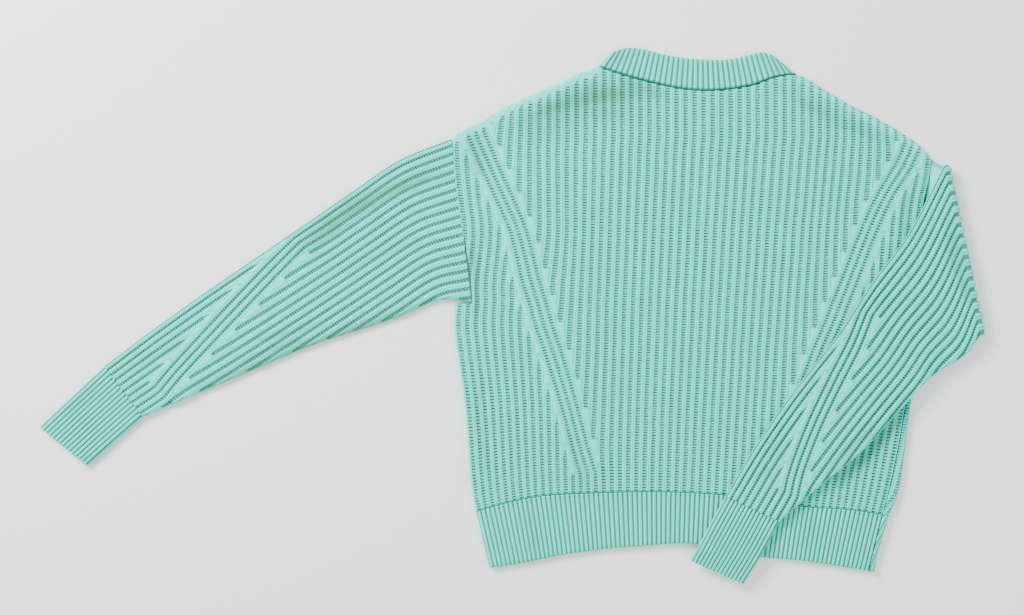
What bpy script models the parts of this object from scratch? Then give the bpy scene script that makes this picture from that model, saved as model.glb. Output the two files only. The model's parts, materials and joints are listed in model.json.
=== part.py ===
"""A chunky rib-knit cardigan, laid flat with its back up and the right sleeve folded over it.

Tables and sizes are in millimetres. X runs to the wearer's right, Y from hem to neck, Z up from the surface
that the cardigan lies on. The fronts are the lower layer, the back is the upper one, and the folded sleeve
lies on the back.
"""
import math

import bmesh
import bpy
import numpy as np

MM = 0.001

# Wall and layers
CLOTH = 4.35  # one layer of the knit
GAP = 0.3  # between layers and at seams
LAYER = CLOTH + GAP  # height of the upper layer's inner side
TUBE = 2 * CLOTH + GAP  # a sleeve laid flat
FOLD_AXIS = TUBE + GAP / 2  # height of the line that the right sleeve turns about
EDGE = 4.5  # width over which a layer rounds off
EDGE_WALL = 1.0  # what is left of the wall at its edge
SIDE_TURN = 3.5  # how far the right side bulges past the flat of the body
RIB = 2.2  # height of the body's ribs over their furrows
FINE_RIB = 1.1  # the same on hem, cuffs and neckband

# Ribs
BACK_RIBS = 54
HEM_RIBS = 86
NECK_RIBS = 36
CUFF_RIBS = 15
BAND_COLUMNS = 6  # the slanting band is three ribs wide, two columns each
BAND_START = 3  # column of the band's first rib where it starts
EDGE_SQUEEZE = 0.85  # ribs lost to sight where a sleeve turns at its edge
TUBE_RIM = 1.2  # a sleeve's last point before its lower edge
LAST_COLUMN = 3.5  # its ribs end this far before that edge
SLIT_COLUMNS = 16  # steps across the inside of a sleeve
NO_BAND = -99  # row number of a section outside the slanting band
LEVEL = math.radians(1)  # faces that meet at less than this are made one

# Front closure
BAND_WIDTH = 35.0
HOLE_BAND_CLOTH = 2.9
BUTTONS = 6
BUTTON_RADIUS = 7.5
BUTTON_HEIGHT = 1.6
BUTTON_RIM = 1.4
BUTTON_DISH = 0.5
BUTTON_SIDES = 16
TOP_BUTTON, BOTTOM_BUTTON = 204.0, -238.0

MINT = (0.34, 0.75, 0.60, 1)
BUTTON_MINT = (0.50, 0.80, 0.68, 1)

# Where the back's ribs stand: height, left edge, 17th furrow, 40th furrow, right edge
BACK_TRACKS = (
    (195, -66.0, 102.0, 330.0, 463.0),
    (182, -65.5, 101.0, 328.5, 462.8),
    (155, -64.0, 100.5, 326.0, 460.3),
    (127, -60.5, 99.5, 323.5, 454.0),
    (93, -56.0, 98.5, 320.0, 450.0),
    (64, -58.5, 97.5, 318.0, 447.5),
    (36, -62.5, 96.5, 315.5, 446.5),
    (13, -62.0, 95.5, 313.5, 446.0),
    (-7, -63.5, 95.0, 312.0, 446.0),
    (-38, -60.5, 94.5, 309.0, 442.0),
    (-71, -55.5, 93.5, 306.5, 438.0),
    (-97, -52.0, 93.0, 304.0, 434.0),
    (-138, -48.5, 92.5, 300.5, 427.0),
    (-177, -45.5, 92.5, 297.0, 419.0),
    (-204, -42.0, 92.5, 295.0, 412.5),
    (-222, -38.0, 92.5, 293.5, 407.5),
    (-253, -31.0, 93.0, 292.0, 399.5),
    (-283, -23.5, 93.0, 291.0, 392.5),
)
TRACK_RIBS = (0, 16.5, 39.5, BACK_RIBS)

# The body's upper edge: x, y
LEFT_SHOULDER = (
    (-66, 195), (-57, 202), (-35, 213), (-13, 226), (9, 237), (31, 247), (53, 257), (75, 267), (96, 274.5),
)
BACK_NECK = (
    (96, 274.5), (108, 270), (127, 264), (151, 257.5), (184, 250.5), (207, 248),
    (228, 248.5), (246, 250.5), (268, 255), (287, 262), (300, 265), (313.5, 266),
)
RIGHT_SHOULDER = (
    (313.5, 266), (329, 259), (339, 252.5), (361, 239), (383, 227), (405, 216), (427, 203), (449, 187.5),
    (463, 171.5),
)
FRONT_NECK = (
    (96, 274.5), (103, 248), (124, 212), (158, 189), (204.5, 182), (251, 189), (285, 212), (306, 243),
    (313.5, 266),
)

# Armholes and the right side: y, x
LEFT_ARMHOLE = (
    (195, -66.5), (168, -65.5), (149, -63.5), (127, -60.5), (99.5, -57), (72, -50.5), (45, -46), (13, -43.5),
)
RIGHT_SIDE = (
    (-5, 452), (-50, 446), (-87, 441), (-104, 439), (-137, 434.5), (-170, 430), (-203, 423.5),
    (-219, 416), (-236, 411), (-252, 406), (-269, 401.5), (-285, 399),
)
LEFT_UNDERARM, RIGHT_UNDERARM = 13.5, -6.5

# Hem: x, y of its upper and lower edges
HEM_TOP = (
    (-45, -218), (-13, -208.5), (20, -201), (97, -195.5), (196, -195.5), (273, -202), (323, -210.5),
    (372, -214), (430, -223),
)
HEM_END = (
    (-26, -278.5), (9, -273.5), (53, -264.5), (97, -258), (141, -254.5), (196, -251.5), (267, -265.5),
    (317, -270), (361, -276.5), (400, -282.5),
)

# The front's centre line, top to hem
CENTRE_TOP = (201.0, 217.0)
CENTRE_HEM = (189.0, -252.0)

# Neckband at the back: x, y of its upper edge
NECKBAND_TOP = (
    (110, 290), (121, 294), (130, 295), (147, 293), (167, 288), (185, 284.5), (207, 282.5),
    (232, 282), (246, 283.5), (264, 288), (276, 290), (287, 287), (300, 276),
)
# Neckband at the front: x on the neck seam, x and y of its free edge
LEFT_NECKBAND = ((96, 118, 292.5), (106, 137, 262), (126, 155, 234), (156, 172, 220), (184, 184, 217))
RIGHT_NECKBAND = ((218, 218, 217), (252, 237, 220), (284, 255, 231), (304.5, 273, 257), (313.5, 291, 284.5))
NECK_STEPS = 8  # columns from the shoulder to the front band

# Sleeves: way along the upper edge, upper edge x, y, lower edge x, y, rib pitch
LEFT_SLEEVE = (
    (0, -66.7, 195.0, -44.5, 15.0, 8.85),
    (61, -123.0, 172.0, -79.0, 17.0, 8.85),
    (127, -178.0, 135.5, -123.0, -1.0, 8.80),
    (194, -233.0, 97.5, -158.5, -13.0, 8.75),
    (260, -288.0, 60.0, -222.0, -33.5, 8.65),
    (327, -343.0, 22.5, -287.0, -61.0, 8.50),
    (395, -398.0, -17.0, -351.0, -88.0, 8.10),
    (459, -449.0, -55.5, -406.0, -111.5, 7.60),
)
RIGHT_SLEEVE = (  # from its fold on
    (0, 474.0, 165.0, 513.0, -23.5, 8.40),
    (88, 432.5, 86.5, 495.0, -46.0, 8.30),
    (153, 394.0, 35.0, 470.5, -61.0, 8.20),
    (222, 356.0, -23.0, 446.5, -81.0, 8.10),
    (264, 330.0, -55.5, 419.0, -111.5, 8.05),
    (316, 298.0, -97.5, 380.5, -152.5, 8.00),
    (375, 265.0, -146.0, 333.5, -191.0, 8.00),
    (436, 234.0, -198.0, 293.5, -226.0, 8.00),
)
LEFT_SLEEVE_RIBS = (-0.82, -0.57)  # the way that the ribs run
RIGHT_SLEEVE_RIBS = (-0.54, -0.84)
RIGHT_SLEEVE_RIBS_UNDER = (0.82, -0.57)  # before the fold
RIGHT_ARMHOLE = (462.5, 171.5, 446.0, -4.0, 8.40)  # upper and lower end, rib pitch
FOLD_OUT = (0.981, 0.193)  # square to the fold line, away from the body
LEFT_CUFF = (
    (0, -449.25, -55.8, -406.25, -111.8),
    (50, -484.5, -88.5, -437.0, -138.5),
    (97, -520.5, -122.5, -467.0, -165.5),
)
RIGHT_CUFF = (
    (0, 233.85, -198.3, 293.35, -226.3),
    (40, 215.0, -232.5, 276.0, -258.5),
    (60, 205.5, -250.7, 265.3, -276.9),
    (80, 196.0, -269.0, 254.5, -295.0),
)

# The slanting bands: way to the first new rib, the step to the next one, and how much each step grows
BACK_BAND = (0.0, 24.75, 0.81)
LEFT_SLEEVE_BAND = (245.0, 39.8, -1.5)
RIGHT_SLEEVE_BAND = (219.5, 40.2, -1.9)
BACK_NEW_RIBS = 13
SLEEVE_NEW_RIBS = 6
SLEEVE_LAST_ROW = 2 * (SLEEVE_NEW_RIBS - 1)
COURSE_TOP = 184.5  # height of the back's first new rib at the left
COURSE_DROP = ((0, 22), (2, 16), (10, 15), (14, 11), (18, 7), (27, 5.5))  # row, fall from left to right

# The folded sleeve sinks a little where nothing carries it
SAG_START = 4.0  # this far past what carries it
SAG_SLOPE = 0.22
MOST_SAG = 6.0


def through(table, at):
    """The smooth curve through a table's rows; the first column says where each one is."""
    rows = np.array(table, float)
    if rows[0, 0] > rows[-1, 0]:
        rows = rows[::-1]
    where, values = rows[:, 0], rows[:, 1:]
    step = np.diff(where)[:, None]
    slope = np.diff(values, axis=0) / step
    inner = (slope[:-1] * step[1:] + slope[1:] * step[:-1]) / (step[1:] + step[:-1])
    tangent = np.vstack([slope[:1], inner, slope[-1:]])
    at = np.clip(np.asarray(at, float), where[0], where[-1])
    k = np.clip(np.searchsorted(where, at, side="right") - 1, 0, len(where) - 2)
    u = ((at - where[k]) / step[k, 0])[..., None]
    start = values[k] * (1 + 2 * u) + tangent[k] * step[k] * u
    end = values[k + 1] * (3 - 2 * u) - tangent[k + 1] * step[k] * (1 - u)
    return start * (1 - u) ** 2 + end * u**2


def curve(table, at):
    """The same for a table of two columns, as plain numbers."""
    return through(table, at)[..., 0]


def joined(x, *tables):
    """The height at x of curves that meet at corners."""
    y = curve(tables[0], x)
    for table in tables[1:]:
        y = np.where(x > table[0][0], curve(table, x), y)
    return y


def between(first, second, share):
    return first * (1 - share) + second * share


def rounded(depth):
    """Thickness of a layer this far in from its free edge."""
    inside = np.clip(np.asarray(depth, float) / EDGE, 0, 1)
    return EDGE_WALL + (CLOTH - EDGE_WALL) * np.sqrt(1 - (1 - inside) ** 2)


def tube_side(depth):
    """Height of a flat tube's upper side over its middle, this far in from where it turns."""
    inside = np.clip(np.asarray(depth, float) / EDGE, 0, 1)
    return TUBE / 2 * np.sqrt(1 - (1 - inside) ** 2)


def band_place(band, row):
    """Place of a row of a slanting band. Its ribs move over by half a rib from row to row."""
    first, step, growth = band
    new_ribs = np.asarray(row) / 2
    return first + step * new_ribs + growth * new_ribs**2 / 2


def crest(column, row, last_row):
    """1 on top of a rib and 0 in a furrow. Even columns are ribs, but in the band on every other row."""
    if 0 <= row <= last_row and row % 2 == 0:
        first = BAND_START + row
        if first <= column <= first + BAND_COLUMNS:
            return 1.0 - (column - first) % 2
        if column in (first - 1, first + BAND_COLUMNS + 1):
            return 0.5
    return 1.0 - column % 2


def in_band(column, row, last_row):
    """Whether the band's ribs cross this quad on the slant."""
    first = BAND_START + row
    return -1 <= row <= last_row and first - 1 <= column <= first + BAND_COLUMNS


def cloth(name, colour):
    material = bpy.data.materials.new(name)
    material.use_nodes = True
    shader = material.node_tree.nodes["Principled BSDF"]
    shader.inputs["Base Color"].default_value = colour
    shader.inputs["Roughness"].default_value = 0.9
    shader.inputs["Metallic"].default_value = 0.0
    material.diffuse_color = colour
    return material


def finish(name, bm):
    """Merges faces that lie level with each other, and puts the piece in the cardigan."""
    bmesh.ops.recalc_face_normals(bm, faces=bm.faces)
    bmesh.ops.dissolve_limit(bm, angle_limit=LEVEL, verts=bm.verts, edges=bm.edges)
    bmesh.ops.triangulate(bm, faces=bm.faces)
    bmesh.ops.recalc_face_normals(bm, faces=bm.faces)
    mesh = bpy.data.meshes.new(name)
    bm.to_mesh(mesh)
    bm.free()
    mesh.materials.append(cloth(name, MINT))
    piece = bpy.data.objects.new(name, mesh)
    cardigan.objects.link(piece)
    return piece


def panel(name, outer, inner, leans=None, cut=None):
    """A closed wall between two grids of points, of which the outer one carries the form.

    leans(row, column) picks the diagonal of a quad, and cut(row, column, half) leaves half a quad out.
    """
    bm = bmesh.new()
    verts, edges = {}, set()

    def vert(side, corner):
        if (side, corner) not in verts:
            verts[side, corner] = bm.verts.new((outer, inner)[side][corner] * MM)
        return verts[side, corner]

    for row in range(outer.shape[0] - 1):
        for column in range(outer.shape[1] - 1):
            a, b = (row, column), (row, column + 1)
            c, d = (row + 1, column + 1), (row + 1, column)
            halves = ((a, b, c), (a, c, d)) if leans is None or leans(row, column) else ((a, b, d), (b, c, d))
            for half, corners in enumerate(halves):
                if cut and cut(row, column, half):
                    continue
                bm.faces.new([vert(0, corner) for corner in corners])
                bm.faces.new([vert(1, corner) for corner in reversed(corners)])
                for start, end in zip(corners, corners[1:] + corners[:1]):
                    if (end, start) in edges:
                        edges.remove((end, start))
                    else:
                        edges.add((start, end))
    for start, end in sorted(edges):
        bm.faces.new((vert(0, end), vert(0, start), vert(1, start), vert(1, end)))
    return finish(name, bm)


def grid(x, y, z):
    return np.dstack(np.broadcast_arrays(x, y, z)).astype(float)


# Back

BACK_COLUMNS = 2 * BACK_RIBS
BACK_LAST_ROW = 2 * (BACK_NEW_RIBS - 1)
HIGH_ROWS = 3  # rows above the first new rib
SEAM_ROW, UNDERARM_ROW = 7, 12  # between these the left armhole runs across the outer ribs, a column a row


def body_top(x):
    return joined(x, LEFT_SHOULDER, BACK_NECK, RIGHT_SHOULDER)


def track(rib, height):
    """Where a rib of the back stands at this height."""
    tracks = through(BACK_TRACKS, height)
    rib = np.broadcast_to(np.asarray(rib, float), tracks.shape[:-1])
    k = np.clip(np.searchsorted(TRACK_RIBS, rib, side="right") - 1, 0, len(TRACK_RIBS) - 2)
    first, last = np.take(TRACK_RIBS, k), np.take(TRACK_RIBS, k + 1)
    share = (rib - first) / (last - first)
    left = np.take_along_axis(tracks, k[..., None], -1)[..., 0]
    right = np.take_along_axis(tracks, k[..., None] + 1, -1)[..., 0]
    return between(left, right, share)


def back_points():
    """x and y of the back's grid: rows from the upper edge down to the hem, two columns a rib."""
    rib = np.arange(BACK_COLUMNS + 1) / 2
    across = rib / BACK_RIBS
    top_y = np.full(rib.shape, BACK_TRACKS[0][0])
    for _ in range(4):
        top_y = body_top(track(rib, top_y))
    band_y = COURSE_TOP - band_place(BACK_BAND, 0) - curve(COURSE_DROP, 0) * across
    rim = np.minimum(EDGE / (top_y - band_y), 0.35)
    heights = [between(top_y, band_y, share) for share in (0, rim, 0.65)]
    rows = [(track(rib, y), y) for y in heights]
    for row in range(BACK_LAST_ROW + 2):
        y = COURSE_TOP - band_place(BACK_BAND, row) - curve(COURSE_DROP, row) * across
        if row == UNDERARM_ROW:
            y = np.where(rib < (UNDERARM_ROW - SEAM_ROW) / 2, LEFT_UNDERARM - 1.2, y)
        x = track(rib, y)
        if row <= UNDERARM_ROW:
            on_seam = max(row - SEAM_ROW, 0)
            x[on_seam] = curve(LEFT_ARMHOLE, y[on_seam])
        rows.append((x, y))
    for above in (EDGE / 2, 0):
        for _ in range(4):
            y = body_end(track(rib, y)) + above
        rows.append((track(rib, y), y))
    x, y = (np.array(values) for values in zip(*rows))
    x[:, 0] += GAP / 2
    x[:, -1] -= GAP / 2
    for row in range(SEAM_ROW + 1, UNDERARM_ROW + 1):
        x[HIGH_ROWS + row, row - SEAM_ROW] += GAP / 2
    return x, y


def make_back():
    x, y = back_points()
    seam = HIGH_ROWS + SEAM_ROW
    seam_columns = UNDERARM_ROW - SEAM_ROW
    surface = np.empty(x.shape)
    for row, column in np.ndindex(*x.shape):
        from_edge = min(column, BACK_COLUMNS - column)
        surface[row, column] = CLOTH - RIB * (1 - crest(from_edge, row - HIGH_ROWS, BACK_LAST_ROW))
    side = rounded(np.minimum(x - x[:, :1], x[:, -1:] - x))
    surface = np.minimum(surface, np.minimum(side, rounded(y[:1] - y)))
    surface[-1] = np.minimum(surface[-1], CLOTH - RIB)
    for step in range(seam_columns + 1):
        surface[seam + step, step] = CLOTH - RIB

    def leans(row, column):
        if row < HIGH_ROWS - 1 or column <= seam_columns and seam <= row <= seam + seam_columns:
            return True
        if column < BACK_COLUMNS / 2:
            return in_band(column, row - HIGH_ROWS, BACK_LAST_ROW)
        return not in_band(BACK_COLUMNS - 1 - column, row - HIGH_ROWS, BACK_LAST_ROW)

    def cut(row, column, half):
        step = row - seam
        return 0 <= step < seam_columns and (column < step or column == step and half == 1)

    return panel("back", grid(x, y, LAYER + surface), grid(x, y, LAYER), leans, cut)


# Hem at the back

def side_seam(y):
    """x of the right armhole and, below it, of the right side seam."""
    return track(BACK_RIBS, y)


def back_left(y):
    return track(0, y)


def back_hem_points():
    across = np.arange(2 * HEM_RIBS + 1) / (2 * HEM_RIBS)
    rows = []
    for share in (0, 0.05, 0.92, 1):
        y = np.full(across.shape, between(HEM_TOP[4][1], HEM_END[5][1], share))
        for _ in range(3):
            x = between(back_left(y) + GAP / 2, side_seam(y) - GAP / 2, across)
            y = between(curve(HEM_TOP, x) - GAP / 2, curve(HEM_END, x), share)
        rows.append((x, y))
    return (np.array(values) for values in zip(*rows))


def make_back_hem():
    x, y = back_hem_points()
    furrow = np.arange(x.shape[1]) % 2
    surface = CLOTH - FINE_RIB * furrow * np.ones(x.shape)
    surface[0] = CLOTH - RIB
    side = rounded(np.minimum(x - x[:, :1], x[:, -1:] - x))
    surface = np.minimum(surface, np.minimum(side, rounded(y - y[-1:])))
    return panel("back_hem", grid(x, y, LAYER + surface), grid(x, y, LAYER))


# Fronts: their outer sides face down and lie level on the surface

def centre(y):
    return between(CENTRE_TOP[0], CENTRE_HEM[0], (CENTRE_TOP[1] - y) / (CENTRE_TOP[1] - CENTRE_HEM[1]))


def front_top(x):
    return joined(x, LEFT_SHOULDER, FRONT_NECK, RIGHT_SHOULDER)


def hem_end(x):
    return curve(HEM_END, x)


def left_edge(y):
    return GAP / 2 + (curve(LEFT_ARMHOLE, y) if y > LEFT_UNDERARM else back_left(y))


def right_edge(y):
    return side_seam(y) - GAP / 2 if y > RIGHT_UNDERARM else curve(RIGHT_SIDE, y) - SIDE_TURN


def neck_steps(side):
    """x of a front's columns along its neck, closer where the neck is steep."""
    corner, band = (FRONT_NECK[0][0], centre(FRONT_NECK[4][1]) - BAND_WIDTH / 2 - GAP)
    if side > 0:
        corner, band = (FRONT_NECK[-1][0], centre(FRONT_NECK[4][1]) + BAND_WIDTH / 2 + GAP)
    return between(corner, band, (np.arange(NECK_STEPS + 1) / NECK_STEPS) ** 2)


TURN_ANGLES = np.radians((180, 135, 90, 45))


def turn_up(edge_x, y, thickness):
    """Outer and inner points round a front's side, from its seam above down to its edge below."""
    half = TUBE / 2 - (CLOTH - thickness)
    seam_x = min(side_seam(y) + GAP, edge_x - 1)
    seam = (seam_x, y, LAYER + min(thickness, CLOTH - RIB / 2))
    sine, cosine = np.sin(TURN_ANGLES), np.cos(TURN_ANGLES)
    outer = grid(edge_x + SIDE_TURN * sine, y, TUBE / 2 - half * cosine)[0]
    inner = grid(edge_x + GAP / 2 * sine, y, TUBE / 2 - GAP / 2 * cosine)[0]
    return np.vstack([[seam], outer]), np.vstack([[(seam_x, y, LAYER)], inner])


def make_front(name, side, upper, lower, heights, free_top, free_end):
    """A front or its hem. heights gives its rows at the outer edge; the right one turns up round its side."""
    edge = left_edge if side < 0 else right_edge
    neck = neck_steps(side)
    start = edge(heights[0])
    plain = np.append([0, 1.3, EDGE], np.linspace(20, abs(neck[0] - start) - 10, 12))
    across = np.append(plain, abs(neck - start)) / abs(neck[-1] - start)
    turned = len(TURN_ANGLES) + 1 if side > 0 else 0
    outer, inner = [], []
    for height in heights:
        edge_x = edge(height)
        length = upper(edge_x) - lower(edge_x)
        share = (upper(edge_x) - height) / length
        y = np.full(across.shape, height)
        for _ in range(4):
            x = between(edge_x, centre(y) + side * (BAND_WIDTH / 2 + GAP), across)
            y = between(upper(x), lower(x), share)
        thickness = np.full(x.shape, CLOTH)
        if side < 0 and height < LEFT_UNDERARM:
            thickness = np.minimum(thickness, rounded(np.abs(x - edge_x)))
        if free_top:
            thickness = np.minimum(thickness, rounded(length * share))
        if free_end:
            thickness = np.minimum(thickness, rounded(length * (1 - share)))
        out, into = grid(x, y, CLOTH - thickness)[0], grid(x, y, CLOTH)[0]
        if turned:
            turn_out, turn_in = turn_up(edge_x, y[0], thickness[0])
            out, into = np.vstack([turn_out, out]), np.vstack([turn_in, into])
        outer.append(out)
        inner.append(into)

    def cut(row, column, half):
        return column < turned and heights[row] > RIGHT_UNDERARM

    return panel(name, np.array(outer), np.array(inner), None, cut)


def front_heights(top, underarm, bottom):
    """Heights of a front's rows at its outer edge, with one just over and one just under the underarm."""
    above = np.linspace(top - 2 * EDGE, underarm + 1.1, 13)
    below = np.linspace(underarm - 1.1, bottom + EDGE, 9)
    return [top, top - 1.3, top - EDGE, *above, *below, bottom]


def body_end(x):
    return curve(HEM_TOP, x) + GAP / 2


def hem_start(x):
    return curve(HEM_TOP, x) - GAP / 2


def meets(line, edge, y):
    """Height at which a front's edge meets a line across it."""
    for _ in range(5):
        y = float(line(edge(y)))
    return y


def make_fronts():
    sides = (("left", -1, left_edge, LEFT_UNDERARM), ("right", 1, right_edge, RIGHT_UNDERARM))
    for word, side, edge, underarm in sides:
        top, bottom = meets(front_top, edge, 180), meets(body_end, edge, -220)
        rows = front_heights(top, underarm, bottom)
        make_front(f"front_{word}", side, front_top, body_end, rows, True, False)
        top, bottom = meets(hem_start, edge, -220), meets(hem_end, edge, -280)
        rows = [*np.linspace(top, bottom + EDGE, 5), bottom + 1.3, bottom]
        make_front(f"front_{word}_hem", side, hem_start, hem_end, rows, False, True)


# Front closure

def strip(name, floor, thickness):
    """One of the two bands that lap at the centre."""
    y = np.linspace(CENTRE_TOP[1] - 1, hem_end(centre(-252)), 5)[:, None]
    across = np.array([-0.5, 0.5]) * BAND_WIDTH
    x = centre(y) + across
    outer, inner = grid(x, y, floor), grid(x, y, floor + thickness)
    return panel(name, outer, inner)


def make_button(name, place):
    """A turned button with a raised rim, face down."""
    rim = BUTTON_RADIUS - BUTTON_RIM
    profile = (
        (0, BUTTON_HEIGHT), (BUTTON_RADIUS - 0.5, BUTTON_HEIGHT), (BUTTON_RADIUS, BUTTON_HEIGHT - 0.5),
        (BUTTON_RADIUS, 0.4), (BUTTON_RADIUS - 0.4, 0), (rim, 0), (rim - 0.6, BUTTON_DISH), (0, BUTTON_DISH),
    )
    mesh = bpy.data.meshes.new(name)
    lines = [(i, i + 1) for i in range(len(profile) - 1)]
    mesh.from_pydata([(r * MM, 0, z * MM) for r, z in profile], lines, [])
    mesh.materials.append(cloth(name, BUTTON_MINT))
    button = bpy.data.objects.new(name, mesh)
    button.location = place
    cardigan.objects.link(button)
    turning = button.modifiers.new("turning", "SCREW")
    turning.steps = turning.render_steps = BUTTON_SIDES
    turning.use_merge_vertices = True
    turning.merge_threshold = 0.00001
    return button


def make_closure():
    hole_band = strip("buttonhole_band", 0, HOLE_BAND_CLOTH)
    strip("button_band", HOLE_BAND_CLOTH + GAP, CLOTH - HOLE_BAND_CLOTH - GAP)
    for number, y in enumerate(np.linspace(TOP_BUTTON, BOTTOM_BUTTON, BUTTONS), 1):
        place = (centre(y) * MM, y * MM, 0)
        bpy.ops.mesh.primitive_cylinder_add(
            vertices=BUTTON_SIDES, radius=(BUTTON_RADIUS + GAP) * MM,
            depth=2 * (BUTTON_HEIGHT + GAP) * MM, location=place,
        )
        cutter = bpy.context.active_object
        cutter.name = f"button_bed_{number}"
        cutter.hide_render = True
        cutter.display_type = "WIRE"
        for collection in list(cutter.users_collection):
            collection.objects.unlink(cutter)
        cutters.objects.link(cutter)
        hole_band.modifiers.new(cutter.name, "BOOLEAN").object = cutter
        make_button(f"button_{number}", place)


# Neckband

def make_back_neckband():
    across = np.arange(2 * NECK_RIBS + 1) / (2 * NECK_RIBS)
    seam_x = between(BACK_NECK[0][0] + GAP / 2, BACK_NECK[-1][0] - GAP / 2, across)
    top_x = between(NECKBAND_TOP[0][0], NECKBAND_TOP[-1][0], across)
    seam_y = curve(BACK_NECK, seam_x) + GAP
    top_y = curve(NECKBAND_TOP, top_x)
    share = np.array([0, 0.06, 0.87, 0.96, 1])[:, None]
    x, y = between(seam_x, top_x, share), between(seam_y, top_y, share)
    surface = CLOTH - FINE_RIB * (np.arange(x.shape[1]) % 2) * np.ones(x.shape)
    surface[0] = CLOTH - RIB
    side = rounded(np.minimum(x - x[:, :1], x[:, -1:] - x))
    surface = np.minimum(surface, np.minimum(side, rounded(y[-1:] - y)))
    panel("neckband_back", grid(x, y, LAYER + surface), grid(x, y, LAYER))


def make_front_neckband(name, table, side):
    seam_x = neck_steps(side)
    seam_y = front_top(seam_x)
    along = np.gradient(seam_y, seam_x)
    length = np.hypot(1, along)
    free_x, free_y = through(table, seam_x).T
    seam_x, seam_y = seam_x - GAP * along / length, seam_y + GAP / length
    seam_x[-1], free_x[-1] = (centre(y[-1]) + side * (BAND_WIDTH / 2 + GAP) for y in (seam_y, free_y))
    share = np.array([0, 0.5, 0.87, 0.96, 1])
    x = between(seam_x[:, None], free_x[:, None], share)
    y = between(seam_y[:, None], free_y[:, None], share)
    from_edge = np.hypot(x - x[:, -1:], y - y[:, -1:])
    panel(name, grid(x, y, CLOTH - rounded(from_edge)), grid(x, y, CLOTH))


# Sleeves and cuffs: flattened tubes

def squeezed(rib):
    """How many ribs in from a tube's edge this rib seems to lie, since the first ones turn under."""
    rib = np.asarray(rib, float)
    return rib - EDGE_SQUEEZE + EDGE_SQUEEZE * np.exp(-rib / 0.9)


def sag(x, y):
    """How far the folded sleeve sinks beside the body and past the hem."""
    body = curve(RIGHT_SIDE, y)
    start, end = np.array(RIGHT_ARMHOLE[2:4]), np.array(RIGHT_SLEEVE[0][3:5])
    along = (end - start) / np.hypot(*(end - start))
    under_sleeve = (x - start[0]) * along[1] - (y - start[1]) * along[0]
    beside = np.minimum(x - body, under_sleeve)
    past_hem = hem_end(np.clip(x, -26, 400)) - y
    loose = np.maximum(np.maximum(beside, past_hem) - SAG_START, 0)
    return MOST_SAG * (1 - np.exp(-SAG_SLOPE * loose / MOST_SAG))


def tube_row(section, ribs_way, band_row=NO_BAND, ribs=None, turn=0.0, relief=(0, 0)):
    """A section of a flattened tube, and where each column stands across it.

    relief holds the height of the ribs on its two sides. An end that follows a seam gets a function for it.
    """
    upper, lower = np.array(section[:2]), np.array(section[2:4])
    span = lower - upper
    way = np.array(ribs_way) / np.hypot(*ribs_way)
    width = abs(span[0] * way[1] - span[1] * way[0])
    if ribs:
        place = np.arange(1, 2 * ribs) / (2 * ribs)
    else:
        place = squeezed(np.arange(1, 100) / 2) * section[4] / width
        place = place[place < 1 - LAST_COLUMN / width]
    place = np.concatenate([[0], place, [1 - TUBE_RIM / width, 1]])
    return {
        "upper": upper, "span": span, "width": width, "place": place, "band": band_row,
        "turn": turn, "relief": relief, "seam": None,
    }


def tube_point(row, place, height):
    """The point this far across a section and this high in the unfolded tube."""
    x, y = row["upper"] + row["span"] * place
    if row["seam"]:
        x = row["seam"](y)
    radius = FOLD_AXIS - height
    out = radius * math.sin(row["turn"])
    x, y = x + out * FOLD_OUT[0], y + out * FOLD_OUT[1]
    if row["turn"] < math.pi:
        return np.array([x, y, FOLD_AXIS - radius * math.cos(row["turn"])]) * MM
    return np.array([x, y, FOLD_AXIS + radius - sag(x, y)]) * MM


def row_points(bm, row, last_band_row):
    """A section's four rows of points: upper and under side, and the same two inside."""
    place = row["place"]
    side = tube_side(np.minimum(place, 1 - place) * row["width"])
    furrow = np.array([1 - crest(column, row["band"], last_band_row) for column in range(len(place))])
    furrow[-2:] = 0
    upper, under = (np.minimum(side, TUBE / 2 - relief * furrow) for relief in row["relief"])
    inset = EDGE / row["width"]
    slit = np.linspace(inset, 1 - inset, SLIT_COLUMNS + 1)
    upper_side = [bm.verts.new(tube_point(row, p, TUBE / 2 + h)) for p, h in zip(place, upper)]
    under_side = [bm.verts.new(tube_point(row, p, TUBE / 2 - h)) for p, h in zip(place[1:-1], under[1:-1])]
    under_side = [upper_side[0], *under_side, upper_side[-1]]
    upper_slit = [bm.verts.new(tube_point(row, p, LAYER)) for p in slit]
    under_slit = [bm.verts.new(tube_point(row, p, CLOTH)) for p in slit]
    return upper_side, under_side, upper_slit, under_slit


def lace(bm, first, second, band_row, last_band_row):
    """Faces between two rows of points, column by column. The longer row's last ribs run out in a fan."""
    shared = min(len(first), len(second)) - 3
    for column in range(shared):
        a, b, c, d = first[column], first[column + 1], second[column + 1], second[column]
        leans = in_band(column, band_row, last_band_row)
        for corners in ((a, b, c), (a, c, d)) if leans else ((a, b, d), (b, c, d)):
            bm.faces.new(corners)
    for column in range(shared, len(first) - 2):
        bm.faces.new((first[column], first[column + 1], second[shared]))
    for column in range(shared, len(second) - 2):
        bm.faces.new((second[column], second[column + 1], first[-2]))
    bm.faces.new((first[-2], first[-1], second[-1], second[-2]))


def zip_up(bm, first, second):
    """Faces between two rows with unlike counts of points, in step with each other."""
    i = j = 0
    while i < len(first) - 1 or j < len(second) - 1:
        behind = (i + 1) * (len(second) - 1) <= (j + 1) * (len(first) - 1)
        if j == len(second) - 1 or i < len(first) - 1 and behind:
            bm.faces.new((first[i], first[i + 1], second[j]))
            i += 1
        else:
            bm.faces.new((first[i], second[j + 1], second[j]))
            j += 1


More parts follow.
